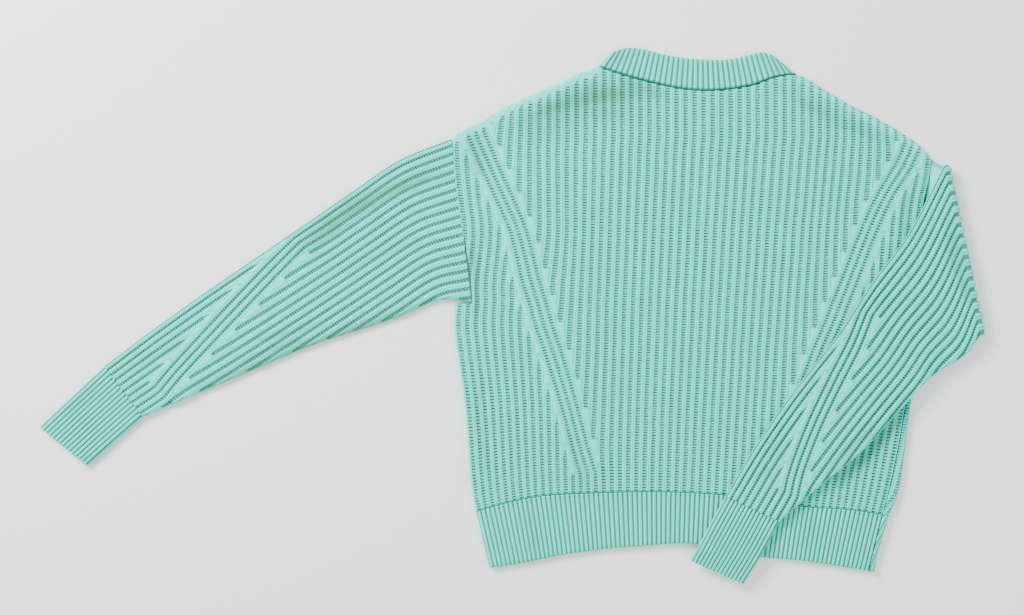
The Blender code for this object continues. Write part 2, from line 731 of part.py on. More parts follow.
def make_tube(name, rows, last_band_row=NO_BAND):
    """A flattened tube with a thin slit inside, open at both ends."""
    bm = bmesh.new()
    made = [row_points(bm, row, last_band_row) for row in rows]
    for row, first, second in zip(rows, made, made[1:]):
        for side in (0, 1):
            lace(bm, first[side], second[side], row["band"], last_band_row)
        for side in (2, 3):
            for a, b, c, d in zip(first[side], first[side][1:], second[side][1:], second[side]):
                bm.faces.new((a, b, c, d))
        for end in (0, -1):
            bm.faces.new((first[2][end], second[2][end], second[3][end], first[3][end]))
    for ends in (made[0], made[-1]):
        zip_up(bm, ends[0], ends[2])
        zip_up(bm, ends[1], ends[3])
        for end in (0, -1):
            bm.faces.new((ends[0][end], ends[2][end], ends[3][end]))
    return finish(name, bm)


def sleeve_rows(table, band, step, **how):
    """Sections of a sleeve: plain ones, then one for each row of the slanting band, then the end."""
    before = round(band[0] / step)
    band_ways = band_place(band, np.arange(SLEEVE_LAST_ROW + 1))
    start = np.linspace(0, band[0], before + 1)[:-1]
    end = np.linspace(band_ways[-1], table[-1][0], 3)[1:]
    ways = enumerate([*start, *band_ways, *end])
    return [tube_row(through(table, way), band_row=number - before, **how) for number, way in ways]


def cuff_rows(table, **how):
    return [tube_row(row[1:], band_row=0, ribs=CUFF_RIBS, **how) for row in table]


def make_left_sleeve():
    way = {"ribs_way": LEFT_SLEEVE_RIBS}
    rows = sleeve_rows(LEFT_SLEEVE, LEFT_SLEEVE_BAND, 41, relief=(RIB, 0), **way)
    rows[0]["seam"] = lambda y: curve(LEFT_ARMHOLE, y) - GAP / 2
    make_tube("sleeve_left", rows, SLEEVE_LAST_ROW)
    make_tube("cuff_left", cuff_rows(LEFT_CUFF, relief=(FINE_RIB, 0), **way))


def make_right_sleeve():
    """It runs from the armhole to its fold line, turns over there, and comes back over the body."""
    fold = RIGHT_SLEEVE[0][1:]
    start = tube_row(RIGHT_ARMHOLE, RIGHT_SLEEVE_RIBS_UNDER, relief=(RIB, 0))
    start["seam"] = lambda y: side_seam(y) + GAP / 2
    rows = [start, tube_row(fold, RIGHT_SLEEVE_RIBS, relief=(RIB, 0))]
    for angle in (45, 90, 135):
        rows.append(tube_row(fold, RIGHT_SLEEVE_RIBS, turn=math.radians(angle), relief=(0, RIB)))
    folded = {"ribs_way": RIGHT_SLEEVE_RIBS, "turn": math.pi}
    rows += sleeve_rows(RIGHT_SLEEVE, RIGHT_SLEEVE_BAND, 20, relief=(0, RIB), **folded)
    make_tube("sleeve_right", rows, SLEEVE_LAST_ROW)
    make_tube("cuff_right", cuff_rows(RIGHT_CUFF, relief=(0, FINE_RIB), **folded))


for thing in list(bpy.data.objects):
    bpy.data.objects.remove(thing)
cardigan = bpy.data.collections.new("cardigan")
cutters = bpy.data.collections.new("cutters")
for collection in (cardigan, cutters):
    bpy.context.scene.collection.children.link(collection)

make_fronts()
make_closure()
make_front_neckband("neckband_left", LEFT_NECKBAND, -1)
make_front_neckband("neckband_right", RIGHT_NECKBAND, 1)
make_back()
make_back_hem()
make_back_neckband()
make_left_sleeve()
make_right_sleeve()
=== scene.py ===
# A rib-knit cardigan laid flat with its back up and its right sleeve folded over it.
# Lengths are in millimetres. x runs to the wearer's right, y from hem to neck, z up from the floor.
import json
import math

import bmesh
import bpy
import numpy as np
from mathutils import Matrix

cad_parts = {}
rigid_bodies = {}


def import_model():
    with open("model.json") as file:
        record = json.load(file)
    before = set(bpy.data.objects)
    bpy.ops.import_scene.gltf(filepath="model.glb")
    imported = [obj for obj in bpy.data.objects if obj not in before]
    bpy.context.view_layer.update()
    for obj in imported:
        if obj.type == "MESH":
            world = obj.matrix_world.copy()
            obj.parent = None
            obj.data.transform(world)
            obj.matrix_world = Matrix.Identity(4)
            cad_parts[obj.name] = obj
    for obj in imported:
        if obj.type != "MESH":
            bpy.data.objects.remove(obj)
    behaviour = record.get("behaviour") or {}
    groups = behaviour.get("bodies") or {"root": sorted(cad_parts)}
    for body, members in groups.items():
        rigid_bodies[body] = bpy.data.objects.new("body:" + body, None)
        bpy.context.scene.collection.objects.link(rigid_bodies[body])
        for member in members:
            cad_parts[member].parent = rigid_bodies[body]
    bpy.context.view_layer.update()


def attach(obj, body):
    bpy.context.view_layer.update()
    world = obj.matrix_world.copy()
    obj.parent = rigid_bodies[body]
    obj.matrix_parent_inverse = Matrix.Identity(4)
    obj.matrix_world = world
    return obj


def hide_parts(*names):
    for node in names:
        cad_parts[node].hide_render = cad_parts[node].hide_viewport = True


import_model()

mm = 0.001

cloth = {"wall": 4.35, "gap": 0.3, "edge": 4.5, "edgeWall": 1.0}
layer = cloth["wall"] + cloth["gap"]  # height of the upper layer's inner side
tube = 2 * cloth["wall"] + cloth["gap"]  # a sleeve laid flat
foldAxis = tube + cloth["gap"] / 2

# The main rib. Heights are over the wall's inner side.
rib = {
    "course": 3.0,  # from one row of stitches to the next
    "shares": (0, 0.24, 0.36, 0.5, 0.64, 0.76),  # ladder, side, leg, groove, leg, side
    "groove": 4.1, "leg": 4.8, "side": 3.7, "bar": 2.9,
    "dip": 0.4,  # of the legs between two rows
    "hole": 1.3,  # height of the hole between two bars
}
# The fine rib of hem, cuffs and neckband
fineRib = {
    "course": 2.4, "shares": (0, 0.24, 0.36, 0.5, 0.64, 0.76),
    "groove": 4.3, "leg": 4.5, "side": 3.9, "bar": 2.6, "dip": 0.15, "hole": 2.4,
}
perRib = len(rib["shares"])

# Where the back's ribs stand: height, left edge, 17th furrow, 40th furrow, right edge
backTracks = (
    (195, -66.0, 102.0, 330.0, 463.0), (182, -65.5, 101.0, 328.5, 462.8),
    (155, -64.0, 100.5, 326.0, 460.3), (127, -60.5, 99.5, 323.5, 454.0),
    (93, -56.0, 98.5, 320.0, 450.0), (64, -58.5, 97.5, 318.0, 447.5),
    (36, -62.5, 96.5, 315.5, 446.5), (13, -62.0, 95.5, 313.5, 446.0),
    (-7, -63.5, 95.0, 312.0, 446.0), (-38, -60.5, 94.5, 309.0, 442.0),
    (-71, -55.5, 93.5, 306.5, 438.0), (-97, -52.0, 93.0, 304.0, 434.0),
    (-138, -48.5, 92.5, 300.5, 427.0), (-177, -45.5, 92.5, 297.0, 419.0),
    (-204, -42.0, 92.5, 295.0, 412.5), (-222, -38.0, 92.5, 293.5, 407.5),
    (-253, -31.0, 93.0, 292.0, 399.5), (-283, -23.5, 93.0, 291.0, 392.5),
)
trackRibs = (0, 16.5, 39.5, 54)

# The body's upper edge: x, y
leftShoulder = (
    (-66, 195), (-57, 202), (-35, 213), (-13, 226), (9, 237), (31, 247), (53, 257), (75, 267), (96, 274.5),
)
backNeck = (
    (96, 274.5), (108, 270), (127, 264), (151, 257.5), (184, 250.5), (207, 248),
    (228, 248.5), (246, 250.5), (268, 255), (287, 262), (300, 265), (313.5, 266),
)
rightShoulder = (
    (313.5, 266), (329, 259), (339, 252.5), (361, 239), (383, 227), (405, 216), (427, 203), (449, 187.5),
    (463, 171.5),
)
frontNeck = (
    (96, 274.5), (103, 248), (124, 212), (158, 189), (204.5, 182), (251, 189), (285, 212), (306, 243),
    (313.5, 266),
)
# Armhole and right side: y, x
leftArmhole = (
    (195, -66.5), (168, -65.5), (149, -63.5), (127, -60.5), (99.5, -57), (72, -50.5), (45, -46), (13, -43.5),
)
rightSide = (
    (-5, 452), (-50, 446), (-87, 441), (-104, 439), (-137, 434.5), (-170, 430), (-203, 423.5),
    (-219, 416), (-236, 411), (-252, 406), (-269, 401.5), (-285, 399),
)
leftUnderarm, rightUnderarm = 13.5, -6.5
# Hem: x, y of its upper and lower edges
hemTop = (
    (-45, -218), (-13, -208.5), (20, -201), (97, -195.5), (196, -195.5), (273, -202), (323, -210.5),
    (372, -214), (430, -223),
)
hemEnd = (
    (-26, -278.5), (9, -273.5), (53, -264.5), (97, -258), (141, -254.5), (196, -251.5), (267, -265.5),
    (317, -270), (361, -276.5), (400, -282.5),
)
neckbandTop = (
    (110, 290), (121, 294), (130, 295), (147, 293), (167, 288), (185, 284.5), (207, 282.5),
    (232, 282), (246, 283.5), (264, 288), (276, 290), (287, 287), (300, 276),
)
# Neckband at the front: x on the neck seam, x and y of its free edge
leftNeckband = ((96, 118, 292.5), (106, 137, 262), (126, 155, 234), (156, 172, 220), (184, 184, 217))
rightNeckband = ((218, 218, 217), (252, 237, 220), (284, 255, 231), (304.5, 273, 257), (313.5, 291, 284.5))
# Sleeves: way along the upper edge, upper edge x, y, lower edge x, y, rib pitch
leftSleeve = (
    (0, -66.7, 195.0, -44.5, 15.0, 8.85), (61, -123.0, 172.0, -79.0, 17.0, 8.85),
    (127, -178.0, 135.5, -123.0, -1.0, 8.80), (194, -233.0, 97.5, -158.5, -13.0, 8.75),
    (260, -288.0, 60.0, -222.0, -33.5, 8.65), (327, -343.0, 22.5, -287.0, -61.0, 8.50),
    (395, -398.0, -17.0, -351.0, -88.0, 8.10), (459, -449.0, -55.5, -406.0, -111.5, 7.60),
)
rightSleeve = (  # from its fold on
    (0, 474.0, 165.0, 513.0, -23.5, 8.40), (88, 432.5, 86.5, 495.0, -46.0, 8.30),
    (153, 394.0, 35.0, 470.5, -61.0, 8.20), (222, 356.0, -23.0, 446.5, -81.0, 8.10),
    (264, 330.0, -55.5, 419.0, -111.5, 8.05), (316, 298.0, -97.5, 380.5, -152.5, 8.00),
    (375, 265.0, -146.0, 333.5, -191.0, 8.00), (436, 234.0, -198.0, 293.5, -226.0, 8.00),
)
rightArmhole = (462.5, 171.5, 446.0, -4.0, 8.40)  # upper and lower end, rib pitch
foldOut = (0.981, 0.193)  # square to the fold line, away from the body
leftCuff = (
    (0, -449.25, -55.8, -406.25, -111.8), (50, -484.5, -88.5, -437.0, -138.5),
    (97, -520.5, -122.5, -467.0, -165.5),
)
rightCuff = (
    (0, 233.85, -198.3, 293.35, -226.3), (40, 215.0, -232.5, 276.0, -258.5),
    (60, 205.5, -250.7, 265.3, -276.9), (80, 196.0, -269.0, 254.5, -295.0),
)
# Slanting bands: way to the first new rib, the step to the next one, how much each step grows, new ribs
backBand = (0.0, 24.75, 0.81, 13)
leftSleeveBand = (245.0, 39.8, -1.5, 6)
rightSleeveBand = (219.5, 40.2, -1.9, 6)
courseTop = 184.5  # height of the back's first new rib at the left
courseDrop = ((0, 22), (2, 16), (10, 15), (14, 11), (18, 7), (27, 5.5))  # band row, fall from left to right


def through(table, at):
    # the smooth curve through a table's rows; the first column says where each one is
    rows = np.array(table, float)
    if rows[0, 0] > rows[-1, 0]:
        rows = rows[::-1]
    where, values = rows[:, 0], rows[:, 1:]
    step = np.diff(where)[:, None]
    slope = np.diff(values, axis=0) / step
    inner = (slope[:-1] * step[1:] + slope[1:] * step[:-1]) / (step[1:] + step[:-1])
    tangent = np.vstack([slope[:1], inner, slope[-1:]])
    at = np.clip(np.asarray(at, float), where[0], where[-1])
    k = np.clip(np.searchsorted(where, at, side="right") - 1, 0, len(where) - 2)
    u = ((at - where[k]) / step[k, 0])[..., None]
    start = values[k] * (1 + 2 * u) + tangent[k] * step[k] * u
    end = values[k + 1] * (3 - 2 * u) - tangent[k + 1] * step[k] * (1 - u)
    return start * (1 - u) ** 2 + end * u**2


def curve(table, at):
    return through(table, at)[..., 0]


def joined(x, *tables):
    y = curve(tables[0], x)
    for table in tables[1:]:
        y = np.where(x > table[0][0], curve(table, x), y)
    return y


def between(first, second, share):
    return first * (1 - share) + second * share


def soft(value, low, high):
    t = np.clip((value - low) / (high - low), 0, 1)
    return t * t * (3 - 2 * t)


def rounded(depth):
    inside = np.clip(np.asarray(depth, float) / cloth["edge"], 0, 1)
    return cloth["edgeWall"] + (cloth["wall"] - cloth["edgeWall"]) * np.sqrt(1 - (1 - inside) ** 2)


def tubeSide(depth):
    inside = np.clip(np.asarray(depth, float) / cloth["edge"], 0, 1)
    return tube / 2 * np.sqrt(1 - (1 - inside) ** 2)


def track(ribs, height):
    # where a rib of the back stands at this height
    tracks = through(backTracks, height)
    ribs = np.broadcast_to(np.asarray(ribs, float), tracks.shape[:-1])
    k = np.clip(np.searchsorted(trackRibs, ribs, side="right") - 1, 0, len(trackRibs) - 2)
    first, last = np.take(trackRibs, k), np.take(trackRibs, k + 1)
    left = np.take_along_axis(tracks, k[..., None], -1)[..., 0]
    right = np.take_along_axis(tracks, k[..., None] + 1, -1)[..., 0]
    return between(left, right, (ribs - first) / (last - first))


def bodyTop(x):
    return joined(x, leftShoulder, backNeck, rightShoulder)


def bodyEnd(x):
    return curve(hemTop, x) + cloth["gap"] / 2


def sideSeam(y):
    return track(trackRibs[-1], y)


def waves(x, y, seed, size):
    # soft unevenness from -1 to 1, of about this size across
    draw = np.random.default_rng(seed)
    total = 0
    for _ in range(5):
        turn = draw.uniform(0, math.tau)
        phase = draw.uniform(0, math.tau)
        pitch = size * draw.uniform(0.7, 1.6)
        total = total + np.sin((x * math.cos(turn) + y * math.sin(turn)) * math.tau / pitch + phase)
    return total / 3


# Creases: x, y of one end and of the other, width, depth and how far the line bows
# Each crease is a shallow trough in the cloth and is also painted with olive shade
creases = {
    "backPanel": (
        (4, 208, 162, 245, 11.0, 1.5, -12), (0, 196, 150, 228, 17.0, 0.7, -10),
        (112, 260, 176, 238, 9.0, 1.1, 0), (-46, 205, -30, 148, 11.0, 0.9, 2),
        (-44, 88, -38, -12, 5.5, 1.0, -2), (300, 246, 420, 188, 7.0, 0.8, 3),
        (440, 150, 431, 40, 6.0, 0.7, 3), (-38, -60, -22, -190, 7.0, 0.5, 4),
        # the last one here, along the folded sleeve's lower edge, is the sleeve's painted shadow over a
        # shallow trough
        (60, -120, 78, -188, 10.0, 0.4, 2), (350, -198, 438, -104, 9.0, 1.2, 0),
    ),
    "sleeveLeft": (
        (-245, 60, -66, 160, 11.0, 1.5, -14), (-356, -86, -68, 17, 6.5, 1.4, -5),
        (-312, -62, -212, -26, 6.5, 1.1, -5), (-292, -30, -205, -4, 5.0, 0.8, 4),
        (-200, 40, -80, 84, 6.0, 0.45, -6), (-420, -60, -352, -20, 7.0, 0.5, 3),
    ),
    "sleeveRight": (
        (424, 92, 352, -22, 15.0, 0.6, 8), (476, 110, 508, 0, 7.0, 0.9, 4),
        (404, -120, 344, -172, 6.0, 0.8, 4), (300, -130, 262, -190, 8.0, 0.5, -4),
    ),
    "cuffLeft": ((-500, -112, -452, -72, 8.0, 0.5, 3),),
    "cuffRight": ((222, -236, 236, -262, 6.0, 0.4, 1),),
    "backHem": ((20, -212, 30, -262, 9.0, 0.4, 2), (330, -222, 322, -262, 8.0, 0.4, -2)),
    "backNeckband": ((104, 272, 122, 292, 6.0, 0.5, 1), (312, 268, 288, 286, 7.0, 0.5, -1)),
}


def creaseAt(name, x, y):
    # depth of the creases here
    deep = np.zeros(np.shape(x))
    for x0, y0, x1, y1, width, depth, bow in creases.get(name, ()):
        length = math.hypot(x1 - x0, y1 - y0)
        alongX, alongY = (x1 - x0) / length, (y1 - y0) / length
        share = ((x - x0) * alongX + (y - y0) * alongY) / length
        away = (x - x0) * alongY - (y - y0) * alongX - bow * np.sin(np.clip(share, 0, 1) * math.pi)
        wide = width * (1 + 0.2 * np.sin(share * 7 + x0))
        ends = soft(share, -0.12, 0.3) * (1 - soft(share, 0.7, 1.12))
        deep = np.maximum(deep, depth * ends * np.exp(-(away / wide) ** 2))
    return deep


# Rib columns and slanting bands. Ribs stand at whole numbers and the ladders between them at halves.
# In a band three ladders slant; a new ladder starts beside them, and one ends, every second band row.
slant = {
    "start": 1.5, "end": 5.5,  # the ladders on both sides of a band at its row 0
    "squeeze": 0.9,  # how close the band's ribs lie, against the others
    "reach": 1.6,  # how many ribs beyond the band lean towards it
    "tip": 0.75, "narrow": 0.27,  # rows until a new ladder is whole, and how much narrower it starts
    "bowl": 0.35, "rounding": 0.3,  # the same for the round end of an old one
    "ridge": 0.14,  # in the middle of a wide rib
    "tipDark": 0.45, "hookDark": 0.5,  # painted shade on the stitches where a ladder starts and ends
}


def bandRowAt(way, band):
    first, step, growth, _ = band
    return 2 * (np.sqrt(np.maximum(step**2 + 2 * growth * (way - first), 1)) - step) / growth


def isBanded(bandRow, newRibs):
    return -2 <= bandRow <= 2 * newRibs - 2


def bandKey(bandRow, newRibs):
    # changes by one where the columns of the band move over by one
    return int(np.floor(bandRow * perRib / 2 + 0.5)) if isBanded(bandRow, newRibs) else 0


def ribPlaces(count, bandRow, newRibs, shares):
    # rib number of each column of points, so that they keep to the ribs also where these slant
    column = np.arange(count) + perRib // 2
    shares = np.array(shares)
    places = column // perRib + shares[column % perRib] - 0.5
    if isBanded(bandRow, newRibs):
        inBand = column - 2 * perRib - bandKey(bandRow, newRibs)
        width = (slant["end"] - slant["start"]) * perRib
        slanted = slant["start"] + bandRow / 2 + inBand // perRib + shares[inBand % perRib]
        places = np.where((inBand >= 0) & (inBand <= width), slanted, places)
    return places


def bandPull(ribs, bandRow, newRibs):
    # ribs lie closer in the band, and those beyond its end lean towards it
    along = ribs - bandRow / 2 - slant["start"]
    width = slant["end"] - slant["start"]
    pull = (slant["squeeze"] - 1) * np.clip(along, 0, width)
    pull = pull * np.exp(-np.maximum(along - width, 0) / slant["reach"])
    return pull * soft(bandRow, -4, -1) * (1 - soft(bandRow, 2 * newRibs - 4, 2 * newRibs - 1))


def ribMarks(ribs, bandRow, newRibs):
    # off is 0 in the middle of a rib and 0.5 in the middle of a ladder; the second value marks painted shade
    # on the stitches where a ladder starts and ends
    nearest = np.floor(ribs) + 0.5
    if not isBanded(bandRow, newRibs):
        return np.maximum(0.5 - np.abs(ribs - nearest), 0), np.zeros(ribs.shape)
    pair = math.floor(bandRow / 2 + 1e-9)
    begun, toGo = bandRow / 2 - pair, pair + 1 - bandRow / 2  # since the last change and to the next one
    newest = slant["start"] + pair
    left = np.minimum(nearest, newest)
    opening = slant["narrow"] * (1 - np.clip(2 * begun / slant["tip"], 0, 1))
    fromLeft = np.abs(ribs - left) + np.where((left == newest) & (pair >= 0), opening, 0)
    lean = bandRow / 2
    ladder = np.clip(np.floor(ribs - lean) + 0.5, slant["start"] + 1, slant["end"] - 1)
    fromBand = np.abs(ribs - lean - ladder)
    right = np.maximum(nearest, slant["end"] + pair + 1)
    closing = (right == slant["end"] + pair + 1) & (pair + 1 < newRibs - 1)
    bowl = np.clip(2 * toGo / slant["bowl"], 0, 1)
    rounding = np.where(closing, slant["rounding"] * (1 - np.sqrt(1 - (1 - bowl) ** 2)), 0)
    fromRight = np.abs(ribs - right) + rounding
    away = np.minimum(np.minimum(fromLeft, fromBand), fromRight)
    off = np.where(away > 0.5, np.minimum(away - 0.5, slant["ridge"]), 0.5 - away)
    nearestPair = round(bandRow / 2)
    sincePair = bandRow - 2 * nearestPair
    atTip = np.abs(ribs - slant["start"] - nearestPair) < 0.3
    tip = atTip * (1 - np.clip(np.abs(sincePair + 0.12) / 0.22, 0, 1))
    hookAt = slant["end"] + nearestPair
    atHook = np.abs(ribs - hookAt - 0.15) < 0.35
    hook = atHook * (1 - np.clip(np.abs(sincePair + 0.1) / 0.25, 0, 1))
    return off, np.maximum(slant["tipDark"] * tip, slant["hookDark"] * hook)


def courseShift(ribs, bandRow, newRibs, pitch):
    # rows of stitches climb across a slanting band
    away = (ribs - 3.5 - bandRow / 2) * pitch
    rise = 0.2 * np.clip(away, -18, 18) * np.exp(-np.maximum(np.abs(away) - 18, 0) / 32)
    return rise * soft(bandRow, -4, -1) * (1 - soft(bandRow, 2 * newRibs - 3, 2 * newRibs - 1))


def stitchHeight(off, inRow, knit):
    # inRow is 0 on the line between two rows of stitches and 1 halfway through a row
    at = (0, 0.14, 0.26, 0.5)
    top = np.interp(off, at, (knit["groove"], knit["leg"], knit["side"], knit["bar"]))
    dips = (knit["groove"] - knit["dip"], knit["leg"] - knit["dip"], knit["side"] - knit["dip"], knit["hole"])
    return between(np.interp(off, at, dips), top, inRow)


# Meshes

def gridTriangles(index, leans):
    a, b, c, d = index[:-1, :-1], index[:-1, 1:], index[1:, 1:], index[1:, :-1]
    first = np.where(leans[..., None], np.stack([a, d, c], -1), np.stack([a, d, b], -1))
    second = np.where(leans[..., None], np.stack([a, c, b], -1), np.stack([d, c, b], -1))
    triangles = np.concatenate([first.reshape(-1, 3), second.reshape(-1, 3)])
    p, q, r = triangles.T
    return triangles[(p != q) & (q != r) & (r != p)]


def openEdges(triangles):
    edges = np.concatenate([triangles[:, [0, 1]], triangles[:, [1, 2]], triangles[:, [2, 0]]])
    size = int(edges.max()) + 1
    return edges[~np.isin(edges[:, 0] * size + edges[:, 1], edges[:, 1] * size + edges[:, 0])]


def rim(triangles):
    # the open edge of a surface as one ring of points
    follow = dict(openEdges(triangles).tolist())
    ring = [next(iter(follow))]
    while follow[ring[-1]] != ring[0]:
        ring.append(follow[ring[-1]])
    return np.array(ring)


def makePiece(name, points, faces, marks):
    # marks are the numbers that each point carries for the wool's pattern
    points[:, 2] = np.maximum(points[:, 2], 0)
    # painted shade: the creases' depth also darkens the wool towards olive
    marks["shade"] = creaseAt(name, points[:, 0], points[:, 1])
    used = np.unique(np.concatenate([np.ravel(part) for part in faces]).astype(int))
    renumber = np.full(len(points), -1)
    renumber[used] = np.arange(len(used))
    mesh = bpy.data.meshes.new(name)
    polygons = [renumber[np.asarray(face, int)].tolist() for part in faces for face in part]
    mesh.from_pydata((points[used] * mm).tolist(), [], polygons)
    for mark, values in marks.items():
        attribute = mesh.attributes.new(mark, "FLOAT", "POINT")
        attribute.data.foreach_set("value", np.ascontiguousarray(values[used], np.float32))
    mesh.shade_smooth()
    piece = bpy.data.objects.new(name, mesh)
    bpy.context.scene.collection.objects.link(piece)
    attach(piece, "root")
    return piece


def shellPanel(name, outer, inner, index, marks, faceDown=False):
    # a wall between two like grids of points
    triangles = gridTriangles(index, np.zeros((index.shape[0] - 1, index.shape[1] - 1), bool))
    if faceDown:
        triangles = triangles[:, ::-1]
    start = outer[..., 0].size
    a, b = openEdges(triangles).T
    sides = np.stack([b, a, start + a, start + b], -1)
    points = np.concatenate([outer.reshape(-1, 3), inner.reshape(-1, 3)])
    marks = {key: np.tile(values.ravel(), 2) for key, values in marks.items()}
    return makePiece(name, points, [triangles, triangles[:, ::-1] + start, sides], marks)


def closedPanel(name, grid, floor):
    # a fine outer side over a plain inner one at this height
    triangles = gridTriangles(grid["index"], grid["leans"])
    ring = rim(triangles)
    points = grid["points"].reshape(-1, 3)
    inner = points[ring]
    inner[:, 2] = floor
    start = len(points)
    loop = np.arange(len(ring))
    following = np.roll(loop, -1)
    sides = np.stack([ring[following], ring, start + loop, start + following], -1)
    marks = {mark: np.concatenate([v.ravel(), v.ravel()[ring]]) for mark, v in grid["marks"].items()}
    faces = [triangles, sides, [start + loop[::-1]]]
    return makePiece(name, np.concatenate([points, inner]), faces, marks)


def turnOut(piece):
    # all faces the same way out
    shape = bmesh.new()
    shape.from_mesh(piece.data)
    bmesh.ops.recalc_face_normals(shape, faces=shape.faces)
    shape.to_mesh(piece.data)
    shape.free()


print("shapes and tables ready")

# Back

back = {
    "ribs": 54, "pitch": 9.7, "step": rib["course"] / 2,
    "top": -96.0, "end": 377.0,  # way down the ribs of the first and the last row
    "arch": 200.0,  # from here on the rows bend to the hem's arc
    "roll": 12.0, "rolled": 0.8,  # the strip that rolls over the shoulders and its height against the rest
    "seam": 2.0,  # how steeply the knit rises from the armhole seam
}
far = 99.0  # further from an edge than its rounding reaches


def backGrid():
    count = perRib * back["ribs"] + 1
    rows = np.arange(back["top"], back["end"] + 0.1, back["step"])
    found = {key: [] for key in ("x", "y", "z", "off", "nick", "above")}
    lean = []
    newRibs = backBand[3]
    lastKey = 0
    for number, way in enumerate(rows):
        bandRow = float(bandRowAt(way, backBand))
        leftHalf = ribPlaces(count, bandRow, newRibs, rib["shares"])[: count // 2 + 1]
        ribs = np.concatenate([leftHalf, back["ribs"] - leftHalf[-2::-1]])
        fold = np.minimum(ribs, back["ribs"] - ribs)
        pull = bandPull(leftHalf, bandRow, newRibs)
        ribs = ribs + np.concatenate([pull, -pull[-2::-1]])
        across = ribs / back["ribs"]
        shifted = way - courseShift(fold, bandRow, newRibs, back["pitch"])
        fall = curve(courseDrop, max(bandRow, 0)) * across
        y = courseTop - shifted - fall
        endY = courseTop - back["end"] - courseDrop[-1][1] * across
        for _ in range(3):
            x = track(ribs, y)
            arch = (bodyEnd(x) - endY) * soft(way, back["arch"], back["end"])
            y = courseTop - shifted - fall + arch
        top = bodyTop(x)
        above = y > top - 0.3 * back["step"]
        for _ in range(3):
            y = np.where(above, bodyTop(track(ribs, y)), y)
        x = track(ribs, y)
        off, nick = ribMarks(fold, bandRow, newRibs)
        z = stitchHeight(off, number % 2, rib)
        for key, values in zip(found, (x, y, z, off, nick, above)):
            found[key].append(values)
        key = bandKey(bandRow, newRibs)
        moved = isBanded(bandRow, newRibs) and key != lastKey
        lean.append(np.where(np.arange(count - 1) < count // 2, moved, not moved))
        lastKey = key
    x, y, z, off, nick, above = (np.array(values) for values in found.values())
    index = np.arange(x.size).reshape(x.shape)
    firstRow = np.maximum(above.sum(axis=0) - 1, 0)  # a column starts at the last row above the edge
    index = index[np.maximum(np.arange(len(rows))[:, None], firstRow[None]), np.arange(count)[None]]
    for row in range(len(rows)):
        if y[row, 0] > leftUnderarm:
            line = curve(leftArmhole, y[row]) + cloth["gap"] / 2
            outside = int((x[row] < line + 0.4).sum())
            if outside:
                index[row, :outside] = index[row, outside - 1]
                x[row, outside - 1] = line[outside - 1]
    depth = np.minimum(x - x[:, :1], x[:, -1:] - x)
    armhole = np.where(y > leftUnderarm, x - curve(leftArmhole, y), far)
    depth = np.minimum(depth, np.maximum(armhole, 0) * back["seam"] + 0.8)
    limit = rounded(np.minimum(depth, np.maximum(bodyTop(x) - y, 0))) / cloth["wall"]
    z = z * limit
    # where the knit rolls over the shoulders its stitches show end on, close and uneven
    fromTop = bodyTop(x) - y + far * ((x > backNeck[0][0]) & (x < backNeck[-1][0]))
    busy = (1 - soft(fromTop, 0.5 * back["roll"], back["roll"])) * np.where(x < backNeck[0][0], 1, 0.6)
    stitches = np.sin(2.1 * x + 1.3 * y) * np.sin(0.9 * x - 2.4 * y)
    z = between(z, (rib["groove"] + 0.4 * stitches) * limit, busy)
    off = between(off, 0.16 + 0.09 * stitches, busy)
    z = z * between(back["rolled"], 1, soft(fromTop, 0, back["roll"]))
    z = z - np.minimum(creaseAt("backPanel", x, y), 0.5 * z)
    z[-1] = np.minimum(z[-1], 2.0)
    z = z + 0.12 * waves(x, y, 3, 7) + 0.25 * (1 + waves(x, y, 4, 90)) * soft(limit, 0.6, 1)
    course = np.broadcast_to(rows[:, None] / rib["course"], x.shape)
    return {
        "points": np.dstack([x, y, layer + z]), "index": index, "leans": np.array(lean)[1:],
        "marks": {"across": off, "course": course, "nick": nick},
    }


backPiece = closedPanel("backPanel", backGrid(), layer)
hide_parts("back")
print("back:", len(backPiece.data.polygons), "faces")

# Hem and neckband at the back

hem = {"ribs": 86, "step": 1.3, "long": 60.0, "scallop": 0.9, "holes": 2.6, "flat": (0.50, 0.07)}
neckband = {"ribs": 36, "step": 1.2, "long": 34.0, "scallop": 0.5, "seam": 2.0, "flat": (0.22, 0.04)}


def fineColumns(ribs):
    column = np.arange(perRib * ribs + 1)
    across = (column // perRib + np.array(fineRib["shares"])[column % perRib]) / ribs
    return across, np.abs((across * ribs) % 1 - 0.5)


def fineStrip(name, topXy, endXy, off, step, depthAt, stitchShadeAt):
    # fine ribs between two lines, each a row of points from left to right
    length = float(np.hypot(*(topXy - endXy).T).mean())
    count = int(length / step) + 1
    share = np.linspace(0, 1, count)[:, None]
    xy = topXy[None] + (endXy - topXy)[None] * share[..., None]
    offs = np.broadcast_to(off, (count, len(off)))
    z = stitchHeight(offs, (np.arange(count) % 2)[:, None], fineRib)
    z = z * rounded(depthAt(xy, share)) / cloth["wall"] + 0.1 * waves(xy[..., 0], xy[..., 1], 6, 9)
    z = z - np.minimum(creaseAt(name, xy[..., 0], xy[..., 1]), 0.4 * z)
    index = np.arange(z.size).reshape(z.shape)
    marks = {
        "across": offs, "course": share * length / fineRib["course"] * np.ones(z.shape),
        "nick": stitchShadeAt(share * length, offs),
    }
    grid = {
        "points": np.dstack([xy, layer + z]), "index": index, "marks": marks,
        "leans": np.zeros((count - 1, len(off) - 1), bool),
    }
    return closedPanel(name, grid, layer)


